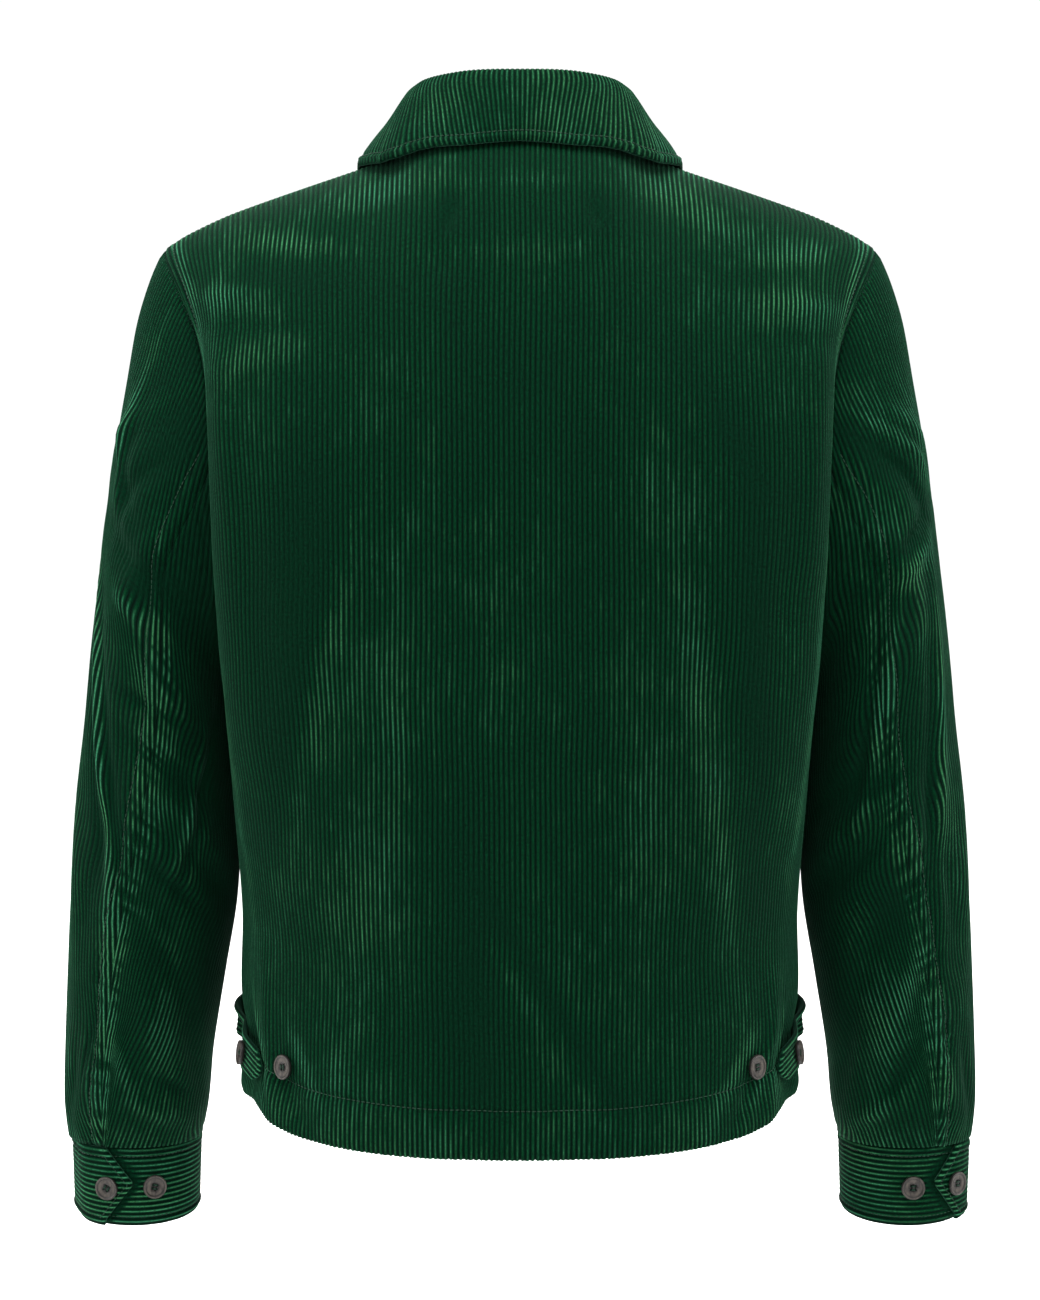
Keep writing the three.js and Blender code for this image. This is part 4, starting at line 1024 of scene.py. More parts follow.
@dataclass
class SleeveShape:
    """The tube of the wearer's right sleeve, by turn round it and share of the way down.

    A turn is 0 on the inner side, 0.25 at the back, 0.5 on the outer side and 0.75 at the front.
    """

    end_z: float = -657
    curve: float = 2.15
    cap_blend: float = 0.17
    inner_fade: float = 42
    inner_seam_angle: float = 318
    grain_from: float = -300
    turns: np.ndarray = field(default_factory=lambda: np.zeros(0))
    loop: np.ndarray = field(default_factory=lambda: np.zeros(0))
    elbow_start: float = 0.0
    inner_start: float = 0.0
    rings: dict[tuple, tuple[np.ndarray, np.ndarray]] = field(default_factory=dict)
    runs: np.ndarray = field(default_factory=lambda: np.zeros(0))
    seam_turns: dict[float, tuple[float, float]] = field(default_factory=dict)

    def __post_init__(self) -> None:
        """Measure the armhole that the sleeve is sewn into."""
        rows = [v for v in body_rows() if v >= 0]
        halves = []
        for panel in (SHAPE.back, SHAPE.front):
            at = [SHAPE.face(panel, np.array([SHAPE.edge(panel, v) - SEAM_GAP / 2]), v)[0] for v in rows]
            halves.append(np.array(at))
        for i in (0, -1):
            middle = (halves[0][i] + halves[1][i]) / 2
            halves[0][i] = middle
            halves[1][i] = middle
        shares = []
        for half in halves:
            run = distances(half)
            shares.append(run / run[-1] / 2)
        self.turns = np.concatenate((shares[0], 1 - shares[1][::-1][1:]))
        self.loop = np.concatenate((halves[0], halves[1][::-1][1:]))
        self.elbow_start = float(np.interp(0.38, rows, shares[0]))
        self.inner_start = 1 - float(np.interp(0.19, rows, shares[1]))
        self.runs = self.level_runs()

    def armhole_points(self, turn: np.ndarray) -> np.ndarray:
        """Points of the body's armhole edge."""
        around = turn - np.floor(turn)
        return np.stack([np.interp(around, self.turns, self.loop[:, k]) for k in range(3)], 1)

    def start(self, turn: np.ndarray) -> np.ndarray:
        """Points of the sleeve's own edge, a seam's gap away from the body's edge."""
        point = self.armhole_points(turn)
        along = self.armhole_points(turn + 0.01) - self.armhole_points(turn - 0.01)
        away = unit(np.cross(along, towards_armhole(point)))
        return point + away * SEAM_GAP * np.sign(away[:, :1])

    def tube(self, turn: np.ndarray, z: np.ndarray) -> np.ndarray:
        """Points of the plain tube below the cap."""
        c = np.cos(turn * 2 * math.pi)
        k = np.sin(turn * 2 * math.pi)
        outer = SLEEVE.read("outer", z)
        inner = SLEEVE.read("inner", z)
        power = 2 / self.curve
        x = (outer + inner) / 2 - (outer - inner) / 2 * np.sign(c) * np.abs(c) ** power
        y = SLEEVE.read("middleY", z) - SLEEVE.read("halfDepth", z) * np.sign(k) * np.abs(k) ** power
        return np.stack((x, y, z), 1)

    def points(self, turn: np.ndarray, down: float) -> np.ndarray:
        """Plain outer points of one ring of the sleeve."""
        start = self.start(turn)
        z = lerp(start[:, 2], self.end_z, down)
        away = self.tube(turn, start[:, 2]) - start
        return self.tube(turn, z) - away * np.reshape(1 - smooth(0, self.cap_blend, down), (-1, 1))

    def normals(self, turn: np.ndarray, down: float) -> np.ndarray:
        """Outward directions of one ring."""
        at = min(max(down, 0.004), 0.996)
        here = self.points(turn, at)
        z = here[:, 2]
        middle_x = (SLEEVE.read("outer", z) + SLEEVE.read("inner", z)) / 2
        middle = np.stack((middle_x, SLEEVE.read("middleY", z), z), 1)
        across = self.points(turn + 0.003, at) - self.points(turn - 0.003, at)
        along = self.points(turn, at + 0.003) - self.points(turn, at - 0.003)
        return facing(unit(np.cross(across, along)), here - middle)

    def level_runs(self) -> np.ndarray:
        """Level distances round from the outer side, for each height of LEVELS and turn of TURNS."""
        runs = []
        start = self.start(TURNS)[:, 2]
        middle = len(TURNS) * 4 // 7
        for z in LEVELS:
            down = np.maximum(0, (z - start) / (self.end_z - start))
            step = np.linalg.norm(np.diff(self.points(TURNS, down)[:, :2], axis=0), axis=1)
            run = np.concatenate(([0], np.cumsum(step + 1e-4)))
            runs.append(run - run[middle])
        return np.array(runs)

    def run_at(self, turn: np.ndarray, z: np.ndarray) -> np.ndarray:
        """Level distances from the outer side at turns and heights."""
        across = np.clip((turn - TURNS[0]) / (TURNS[1] - TURNS[0]), 0, len(TURNS) - 1.001)
        up = np.clip((z - LEVELS[0]) / (LEVELS[1] - LEVELS[0]), 0, len(LEVELS) - 1.001)
        i = across.astype(int)
        j = up.astype(int)
        low = lerp(self.runs[j, i], self.runs[j, i + 1], across - i)
        high = lerp(self.runs[j + 1, i], self.runs[j + 1, i + 1], across - i)
        return lerp(low, high, up - j)

    def ring(self, down: float, part: "SleevePart") -> tuple[np.ndarray, np.ndarray]:
        """Turns round the sleeve and the distance across the ribs at each, at one share of the way down."""
        key = (down, part)
        if key not in self.rings:
            z = lerp(self.start(TURNS)[:, 2], self.end_z, down)
            run = self.run_at(TURNS, z)
            if part is SleevePart.UNDER:
                level = np.minimum(z, self.grain_from)
                share = (self.grain_from - level) / (self.grain_from - self.end_z)
                run = run - self.run_at(lerp(0.12, 0.2, share), level)
            self.rings[key] = (TURNS, np.maximum.accumulate(run + 1e-4 * np.arange(len(run))))
        return self.rings[key]

    def seams(self, down: float) -> tuple[float, float]:
        """Turns of the elbow seam and the inner seam."""
        if down in self.seam_turns:
            return self.seam_turns[down]
        elbow = 0.25
        for _ in range(6):
            z = self.points(np.array([elbow]), down)[0, 2]
            elbow = float(ELBOW_SEAM.read("angle", z)) / 360
        share = float(smooth(0, 0.3, down))
        inner = lerp(self.inner_start, self.inner_seam_angle / 360, share)
        self.seam_turns[down] = (float(lerp(self.elbow_start, elbow, share)), float(inner))
        return self.seam_turns[down]


class SleevePart(Enum):
    """The two pieces of a sleeve."""

    TOP = "top_sleeve"
    UNDER = "under_sleeve"


@dataclass
class SleevePiece:
    """A top sleeve or an under sleeve, its ribs hanging from a grain line."""

    shape: SleeveShape
    part: SleevePart
    side: Side
    creases: tuple[tuple[float, ...], ...]
    naps: tuple[tuple[float, ...], ...]
    rows: int = 132
    length: float = 600.0
    fan: float = 30.0
    cap_roll: float = 0.7
    gather: float = 0.9

    @property
    def name(self) -> str:
        """The node this piece stands for."""
        return f"{self.side.word}_{self.part.value}"

    def down(self, r: int) -> float:
        """Share of the way down of a row."""
        return r / (self.rows - 1)

    def edges(self, down: float) -> tuple[float, float]:
        """Turns of the piece's two edges, which meet the other piece's without the solids' gap."""
        elbow, inner = self.shape.seams(down)
        if self.part is SleevePart.TOP:
            return elbow, inner
        return inner - 1, elbow

    def ring(self, r: int) -> tuple[np.ndarray, np.ndarray]:
        """Turns round one row and the distance across the ribs at each, from the grain line."""
        return self.shape.ring(self.down(r), self.part)

    def turn_at(self, r: int, u: np.ndarray) -> np.ndarray:
        """Turns at distances across the ribs."""
        turns, across = self.ring(r)
        return np.interp(u, across, turns)

    def surface(self, turn: np.ndarray, down: float) -> tuple[np.ndarray, np.ndarray, np.ndarray]:
        """The solids' own outer face, its directions and angles round."""
        point = self.shape.points(turn, down)
        normal = self.shape.normals(turn, down)
        ends = float(smooth(0.05, 0.16, down) * (1 - smooth(0.965, 1, down)))
        angle = (turn - np.floor(turn)) * 360
        clear = 1 - 0.75 * bell(np.minimum(angle, 360 - angle), self.shape.inner_fade)
        depth = fold_depth(SLEEVE_FOLDS, angle, point[:, 2]) * ends * clear
        depth += fold_depth(self.creases, angle, point[:, 2]) * ends
        return point + normal * depth[:, None], normal, angle

    def plain(self, r: int, u: np.ndarray) -> ClothRow:
        """One row as the inner face needs it."""
        turn = self.turn_at(r, u)
        point, normal, _ = self.surface(turn, self.down(r))
        inward = towards_armhole(point) if r == 0 else -normal
        return self.sided(ClothRow(point, inward, np.full(len(u), CLOTH)))

    def sided(self, row: ClothRow) -> ClothRow:
        """The row on its own side of the body."""
        flip = self.side.flip
        return ClothRow(row.outer * flip, row.inward * flip, row.thickness, row.nap_and_painted_light)

    def dressed(self, r: int, u: np.ndarray) -> ClothRow:
        """One row of the outer face with its ribs, creases and seams."""
        down = self.down(r)
        low, high = (float(np.interp(t, *self.ring(r))) for t in self.edges(down))
        calm = smooth(2, 18, np.minimum(u - low, high - u)) * smooth(0.02, 0.1, down)
        wander = 2.2 * calm * meander(u, down * self.length, 2.4 + self.side.value)
        if self.part is SleevePart.UNDER:
            wander *= 1 - 0.7 * float(smooth(0.5, 0.7, down))
            fanned = self.fan * max(0.0, (down - 0.5) / 0.5) ** 1.6
            wander += fanned * smooth(0, 36, high - u) * smooth(4, 40, u - low)
        point, normal, angle = self.surface(self.turn_at(r, u + wander), down)
        relief = RIBS.height(u) + self.seam_relief(u - low, high - u, down)
        relief -= self.cap_roll * (1 - float(smooth(0, 0.006, down)))
        gathered = uneven_wave(u, 15, 0.6) * float(smooth(0.93, 0.985, down))
        relief -= self.gather * gathered * (1 - float(smooth(0.992, 1, down)))
        z = point[:, 2]
        # The nap measure: painted light and shade of the listed patches, lighter at the gathered end, painted
        # highlights and shade on the creases and folds, and along the puckered elbow seam.
        nap_and_painted_light = fold_depth(self.naps, angle, z) + 0.4 * float(smooth(0.95, 0.99, down))
        nap_and_painted_light += 0.3 * fold_depth(self.creases, angle, z) + 0.1 * fold_depth(SLEEVE_FOLDS, angle, z)
        elbow = u - low if self.part is SleevePart.TOP else high - u
        pucker = 0.5 - uneven_wave(down * self.length, 13.5, 0.7 + self.side.value)
        nap_and_painted_light += float(smooth(0.05, 0.3, down)) * (0.25 + 1.4 * pucker) * bell(elbow - 4, 5)
        return self.sided(ClothRow(point + normal * relief[:, None], -normal, np.full(len(u), CLOTH), nap_and_painted_light))

    def seam_relief(self, from_low: np.ndarray, from_high: np.ndarray, down: float) -> np.ndarray:
        """The rolled and puckered seam edges, strongest at the felled elbow seam."""
        top = self.part is SleevePart.TOP
        elbow = from_low if top else from_high
        inner = from_high if top else from_low
        along = down * self.length
        sewn = float(smooth(0.0, 0.06, down))
        relief = ELBOW_EDGE.fall(elbow) - 0.7 * fade(inner, 3)
        tight = 0.55 + 0.45 * float(smooth(0.3, 0.6, down))
        if top:
            relief += sewn * ELBOW_EDGE.seam(elbow)
            wave = uneven_wave(along, 13.0, 0.3 + self.side.value)
            relief -= sewn * tight * 1.6 * wave * bell(elbow - 7, 5.5) * smooth(0, 3, elbow)
        else:
            wave = uneven_wave(along, 14.5, 1.1 + self.side.value)
            relief -= sewn * tight * 2.4 * wave * bell(elbow, 11) * smooth(0, 4, elbow)
        wave = uneven_wave(along, 16.0, 2.2)
        return relief - sewn * 0.6 * wave * bell(inner, 7) * smooth(0, 3, inner)

    def build(self) -> MeshData:
        """Make the piece's closed shell."""
        ends = [np.interp(self.edges(self.down(r)), *self.ring(r)) for r in range(self.rows)]
        low, high = np.array(ends).T
        along = np.linspace(0, self.length, self.rows)
        grid = ClothGrid(self.name, low, high, along, self.dressed, self.plain, inner_columns=110)
        return grid.build()

    def stitch_paths(self) -> list[np.ndarray]:
        """The row of topstitching beside the elbow seam, on the top sleeve."""
        if self.part is SleevePart.UNDER:
            return []
        path = []
        for r in range(5, self.rows - 1):
            start, _ = self.edges(self.down(r))
            u = np.array([float(np.interp(start, *self.ring(r))) + ELBOW_EDGE.groove_at])
            path.append(self.dressed(r, u).on_ribs(u)[0])
        return [np.array(path)]


@dataclass
class CuffShape:
    """A straight band wound once round the wrist, its pointed end lying over its plain end."""

    side: Side
    point_angle: float
    top_z: float = -657.4
    height: float = 49
    half_width: float = 44
    half_depth: float = 42
    centre_x: float = 259
    centre_y: float = 59
    tilt: float = math.tan(math.radians(7))
    point: float = 27
    underlap: float = 36
    ramp: float = 34
    taper: float = 1.6
    stitch_in: float = 5.5
    length: float = 280
    rows: int = 150

    @property
    def name(self) -> str:
        """The node this piece stands for."""
        return f"{self.side.word}_cuff"

    def lift(self, angle: np.ndarray) -> np.ndarray:
        """How far the band lies over its own plain end."""
        past = angle - self.point_angle
        lapped = 1 - smooth(self.underlap + 4, self.underlap + self.ramp, past)
        return (DOUBLED_CLOTH + LAYER_GAP) * lapped

    def points(self, angle: np.ndarray, down: np.ndarray, lift: np.ndarray) -> np.ndarray:
        """Outer points on the wearer's right side."""
        a = np.radians(angle)
        shrink = self.taper * down
        x = self.centre_x - (self.half_width - shrink + lift) * np.cos(a)
        y = self.centre_y - (self.half_depth - shrink + lift) * np.sin(a)
        z = self.top_z - self.height * down + self.tilt * down * (y - self.centre_y)
        return np.stack((x, y, z), 1)

    def normals(self, angle: np.ndarray) -> np.ndarray:
        """Outward directions."""
        a = np.radians(angle)
        return unit(np.stack((-np.cos(a) / self.half_width, -np.sin(a) / self.half_depth, 0 * a), 1))

    def angles(self, share: float, down: np.ndarray) -> np.ndarray:
        """Angles of one row, whose first is the pointed end."""
        start = self.point_angle + self.point * np.minimum(1, np.abs(down - 0.45) / 0.5)
        return lerp(start, self.point_angle + 360 + self.underlap, share)

    def row(self, r: int, u: np.ndarray, ribbed: bool) -> ClothRow:
        """One row across the band."""
        share = r / (self.rows - 1)
        down = u / self.height
        angle = self.angles(share, down)
        lift = self.lift(angle)
        point = self.points(angle, down, lift)
        normal = self.normals(angle)
        relief = np.zeros(len(u))
        if ribbed:
            from_end = (share * (360 + self.underlap)) * math.radians(1) * self.half_width
            from_side = np.minimum(u, self.height - u)
            near = np.minimum(from_side, from_end)
            relief = 0.75 * RIBS.height(u) + CUFF_EDGE.relief(near)
            relief -= 0.5 * uneven_wave(angle * 0.75, 11, 1.9) * bell(u - 6, 7)
            relief += 0.35 * np.sin(angle * 0.061 + u * 0.05) * smooth(0, 0.05, share)
        flip = self.side.flip
        outer = (point + normal * relief[:, None]) * flip
        # Painted shadow on the plain end just past the pointed end that lies over it, a painted highlight
        # along the pointed end's border, and the left cuff drawn lighter than the right.
        covered = math.radians(1) * self.half_width * (self.angles(0, down) + 360 - angle)
        beside = bell(np.maximum(covered, 0), 4.5) * smooth(0.5, 0.6, share)
        brushed = 0.45 if self.side is Side.RIGHT else 0.7
        nap_and_painted_light = brushed - 2.2 * beside + 0.7 * (1 - smooth(0.01, 0.022, share))
        return ClothRow(outer, -normal * flip, np.full(len(u), DOUBLED_CLOTH), nap_and_painted_light)

    def build(self) -> MeshData:
        """Make the band's closed shell."""
        along = np.linspace(0, self.length, self.rows)
        return strap_shell(self.name, (0.0, self.height), along, self.row, 12)

    def stitch_paths(self) -> list[np.ndarray]:
        """Topstitching along the top and bottom edges and round the pointed end."""
        paths = []
        for u in (self.stitch_in, self.height - self.stitch_in):
            path = [self.row(r, np.array([u]), True) for r in range(3, self.rows)]
            paths.append(np.array([p.proud()[0] for p in path]))
        end = self.row(2, np.linspace(self.stitch_in, self.height - self.stitch_in, 40), True)
        paths.append(end.proud())
        return paths


TAB_PLACES: dict[tuple[float, float], tuple[np.ndarray, np.ndarray]] = {}


@dataclass
class TabShape:
    """A strap sewn to the side of the front, bowed clear of the body and buttoned down on the back.

    Its front end is 4 mm lower than its solid's, it slopes less, and its bow is shorter, which keeps the loop
    from being seen through. Its back end is where the solid's is.
    """

    side: Side
    front_distance: float = 46
    back_distance: float = -72
    front_z: float = -562.5
    slope: float = 0.166
    tip: float = 10
    width: float = 23
    bulge: float = 8
    cloth: float = 2.6
    length: float = 125
    rows: int = 84

    @property
    def name(self) -> str:
        """The node this piece stands for."""
        return f"{self.side.word}_side_tab"

    def lift(self, t: float, across: float) -> float:
        """How far the strap stands off the body: bowed at the front and hugging it along its lower edge."""
        arch = math.sin(math.pi * min(max((t - 0.03) / 0.5, 0), 1)) ** 1.3
        hug = float(smooth(0.05, 0.5, across)) * float(smooth(0.22, 0.36, t))
        return float(lerp(0.4, 2.8, smooth(0.5, 0.8, t))) + self.bulge * arch * (1 - hug)

    def place(self, t: float, across: float) -> tuple[np.ndarray, np.ndarray]:
        """Point of the strap's inner face and its direction out, on the wearer's right."""
        key = (round(t, 6), round(across, 6))
        if key not in TAB_PLACES:
            TAB_PLACES[key] = self.measure(t, across)
        return TAB_PLACES[key]

    def measure(self, t: float, across: float) -> tuple[np.ndarray, np.ndarray]:
        """Work out one such point."""
        reach = self.tip * (1 - (2 * abs(across - 0.5)) ** 2)
        distance = lerp(self.front_distance, self.back_distance, t) - reach * float(smooth(0.8, 1, t))
        z = self.front_z - self.slope * (self.front_distance - distance) - (across - 0.5) * self.width
        point, normal = SHAPE.round_side(distance, z, False)
        level = unit(normal * (1, 1, 0))
        return point + level * self.lift(t, across), level

    def row(self, r: int, u: np.ndarray, ribbed: bool) -> ClothRow:
        """One row across the strap."""
        t = r / (self.rows - 1)
        spots = [self.place(t, at / self.width) for at in u]
        inner = np.array([p for p, _ in spots])
        normal = np.array([n for _, n in spots])
        relief = np.zeros(len(u))
        if ribbed:
            from_end = np.full(len(u), (1 - t) * 118)
            near = np.minimum(np.minimum(u, self.width - u), from_end)
            relief = RIBS.height(u) + TAB_EDGE.relief(near)
        flip = self.side.flip
        outer = inner + normal * (self.cloth + relief)[:, None]
        # The strap's pile is drawn lighter, as painted light.
        return ClothRow(outer * flip, -normal * flip, np.full(len(u), self.cloth), 0.8)

    def build(self) -> MeshData:
        """Make the strap's closed shell."""
        along = np.linspace(0, self.length, self.rows)
        return strap_shell(self.name, (0.0, self.width), along, self.row, 8)

    def stitch_paths(self) -> list[np.ndarray]:
        """Topstitching along both edges and round the tip."""
        paths = []
        for u in (TAB_EDGE.groove_at, self.width - TAB_EDGE.groove_at):
            path = [self.row(r, np.array([u]), True) for r in range(0, self.rows - 3)]
            paths.append(np.array([p.proud()[0] for p in path]))
        return paths


@dataclass
class CollarShape:
    """One piece that stands up from the neck seam, rolls over and falls to its pointed outer edge."""

    cloth: float = 3.0
    roll: float = 5.2
    end_angle: float = 176.5
    sections: dict[float, np.ndarray] = field(default_factory=dict)

    def spine(self, angle: float) -> tuple[np.ndarray, np.ndarray]:
        """The seven places that the collar's section passes through, and the direction round the neck."""
        turn = abs(angle)
        a = math.radians(turn)
        panel = SHAPE.back if turn < 90 else SHAPE.front
        depth = panel.neck_depth
        sine = math.sin(a)
        cosine = math.cos(a)
        neck = np.array((SHAPE.neck_half_width * sine, -depth * cosine, panel.neck_rise * cosine**2))
        out = unit(np.array((sine / SHAPE.neck_half_width, -cosine / depth, 0)))
        up = np.array((0, 0, 1.0))
        layered = 1.7 * float(smooth(150, 172, turn))
        size = {name: float(COLLAR.read(name, turn)) for name in COLLAR.columns[1:]}
        base = neck - out * 2.4 + up * (0.6 + layered)
        top = neck + out * size["lean"] + up * size["stand"]
        over, normal = SHAPE.over(size["edgeX"], size["edgeY"])
        edge = over + normal * (self.cloth + size["edgeLift"] + layered * 1.2)
        inside = top - out * self.roll - up * 6
        outside = top + out * self.roll - up * 5
        middle = (outside + edge) / 2 + normal * 1.2
        return np.array((base, (base + inside) / 2, inside, top, outside, middle, edge)), np.cross(up, out)

    def section(self, angle: float, t: np.ndarray) -> tuple[np.ndarray, np.ndarray]:
        """Points of the collar's upper face at one angle, and the directions into it."""
        p, along = self.spine(angle)
        knots = np.concatenate(([2 * p[0] - p[1]], p, [2 * p[-1] - p[-2]]))
        place = t * (len(p) - 1)
        i = np.minimum(place.astype(int), len(p) - 2)
        w = (place - i)[:, None]
        x0, x1, x2, x3 = (knots[i + k] for k in range(4))
        gaps = [np.linalg.norm(q, axis=1, keepdims=True) ** 0.5 for q in (x1 - x0, x2 - x1, x3 - x2)]
        d0, d1, d2 = gaps
        m1 = ((x1 - x0) / d0 - (x2 - x0) / (d0 + d1) + (x2 - x1) / d1) * d1
        m2 = ((x2 - x1) / d1 - (x3 - x1) / (d1 + d2) + (x3 - x2) / d2) * d1
        c2 = -3 * x1 + 3 * x2 - 2 * m1 - m2
        c3 = 2 * x1 - 2 * x2 + m1 + m2
        points = x1 + w * (m1 + w * (c2 + w * c3))
        tangent = unit(m1 + w * (2 * c2 + w * 3 * c3))
        inward = unit(np.cross(along, tangent))
        if angle < 0:
            points = points * (-1, 1, 1)
            inward = inward * (-1, 1, 1)
        return points, inward

    def rows(self) -> np.ndarray:
        """Shares of the way from the neck seam to the outer edge."""
        parts = ((0, 0.44, 12), (0.475, 0.86, 16), (0.875, 1, 12))
        return np.concatenate([np.linspace(*part) for part in parts])

    def build(self) -> tuple[MeshData, list[np.ndarray]]:
        """Make the collar's closed shell and the path of its topstitching."""
        fine = np.linspace(-self.end_angle, self.end_angle, 361)
        t = self.rows()
        points = np.zeros((len(fine), len(t), 3))
        inward = np.zeros_like(points)
        for k, angle in enumerate(fine):
            points[k], inward[k] = self.section(float(angle), t)
        fall = points[:, 22]
        across = distances(fall)
        across -= across[-1] / 2
        run = np.array([distances(path) for path in points])
        to_edge = run[:, -1:] - run

        def read(values: np.ndarray, u: np.ndarray) -> np.ndarray:
            """Values of one row at places across the ribs."""
            if values.ndim == 1:
                return np.interp(u, across, values)
            return np.stack([np.interp(u, across, values[:, k]) for k in range(3)], 1)

        def row(r: int, u: np.ndarray, ribbed: bool) -> ClothRow:
            """One row along the collar."""
            point = read(points[:, r], u)
            into = unit(read(inward[:, r], u))
            relief = np.zeros(len(u))
            if ribbed:
                near = np.minimum(read(to_edge[:, r], u), across[-1] - np.abs(u))
                relief = RIBS.height(u) + COLLAR_EDGE.relief(near)
                relief -= 0.45 * uneven_wave(u, 13, 0.7) * bell(near - 8, 5)
            # The collar's pile is drawn a little lighter, as painted light.
            return ClothRow(point - into * relief[:, None], into, np.full(len(u), self.cloth), 0.35)

        mesh = strap_shell("collar", (across[0], across[-1]), run[len(fine) // 2], row, 64)
        inset = COLLAR_EDGE.groove_at
        outer_rows = np.arange(24, len(t))
        path = []
        for place in np.arange(across[0] + inset, across[-1] - inset, 1.6):
            at = np.array([place])
            far = np.array([float(read(to_edge[:, r], at)[0]) for r in outer_rows])
            level = float(np.interp(-inset, -far, outer_rows))
            low_row = int(level)
            one, two = (row(min(k, len(t) - 1), at, True) for k in (low_row, low_row + 1))
            one.outer = lerp(one.outer, two.outer, level - low_row)
            path.append(one.on_ribs(at)[0])
        return mesh, [np.array(path)]


class NodeBuilder:
    """Adds nodes to one tree, each with its settings and links."""

    def __init__(self, tree: bpy.types.NodeTree) -> None:
        """Start on a tree."""
        self.tree = tree

    def add(self, kind: str, settings: dict | None = None, **inputs: object) -> bpy.types.Node:
        """Add one node.

        Args:
            kind: Blender's name of the node type.
            settings: The node's own properties.
            inputs: Values or sockets by input name, with underscores for spaces, or in_0 by number.

        Returns:
            The node.
        """
        node = self.tree.nodes.new(kind)
        for name, value in (settings or {}).items():
            setattr(node, name, value)
        for name, value in inputs.items():
            key = int(name[3:]) if name.startswith("in_") else name.replace("_", " ")
            socket = node.inputs[key]
            if isinstance(value, bpy.types.NodeSocket):
                self.tree.links.new(value, socket)
            else:
                socket.default_value = value
        return node


def linear(colour: str) -> tuple[float, float, float, float]:
    """Turn an sRGB hex colour into linear light."""
    parts = [int(colour[i : i + 2], 16) / 255 for i in (1, 3, 5)]
    light = [c / 12.92 if c <= 0.04045 else ((c + 0.055) / 1.055) ** 2.4 for c in parts]
    return (light[0], light[1], light[2], 1.0)


class MaterialBuilder(NodeBuilder):
    """Builds one material, with short ways to the nodes that the finishes share."""

    def __init__(self, name: str) -> None:
        """Start an empty material."""
        self.material = bpy.data.materials.new(name)
        self.material.use_nodes = True
        self.material.node_tree.nodes.clear()
        super().__init__(self.material.node_tree)

    def place(self) -> bpy.types.NodeSocket:
        """Where a point is on the object, in metres."""
        return self.add("ShaderNodeTexCoord").outputs["Object"]

    def measure(self, name: str) -> bpy.types.NodeSocket:
        """A measure that the mesh carries at each point."""
        return self.add("ShaderNodeAttribute", {"attribute_name": name}).outputs["Fac"]

    def noise(
        self, at: object, scale: float, detail: float = 2.0, rough: float = 0.5, **more: float
    ) -> bpy.types.NodeSocket:
        """Soft noise over a place."""
        node = self.add("ShaderNodeTexNoise", Vector=at, Scale=scale, Detail=detail, Roughness=rough, **more)
        return node.outputs["Fac"]

    def maths(self, operation: str, a: object, b: object = 0.0) -> bpy.types.NodeSocket:
        """One sum."""
        return self.add("ShaderNodeMath", {"operation": operation}, in_0=a, in_1=b).outputs[0]

    def spread(
        self, value: object, low: float, high: float, to_low: float = 0.0, to_high: float = 1.0
    ) -> bpy.types.NodeSocket:
        """Map one range of values softly onto another."""
        node = self.add("ShaderNodeMapRange", {"interpolation_type": "SMOOTHSTEP"}, in_0=value)
        for i, limit in enumerate((low, high, to_low, to_high), 1):
            node.inputs[i].default_value = limit
        return node.outputs[0]

    def blend(self, share: object, a: object, b: object) -> bpy.types.NodeSocket:
        """One colour laid over another."""
        return self.add("ShaderNodeMix", {"data_type": "RGBA"}, in_0=share, in_6=a, in_7=b).outputs[2]

    def finish(self, height: object, strength: float, depth: float, **inputs: object) -> bpy.types.Material:
        """Close the material with one principled shader over a fine relief.

        Args:
            height: The relief's height, from 0 to 1.
            strength: How strongly it shows.
            depth: Its depth in metres.
            inputs: The shader's own inputs.

        Returns:
            The material.
        """
        bump = self.add("ShaderNodeBump", Strength=strength, Distance=depth, Height=height).outputs[0]
        shader = self.add("ShaderNodeBsdfPrincipled", Normal=bump, **inputs).outputs[0]
        self.add("ShaderNodeOutputMaterial", in_0=shader)
        return self.material


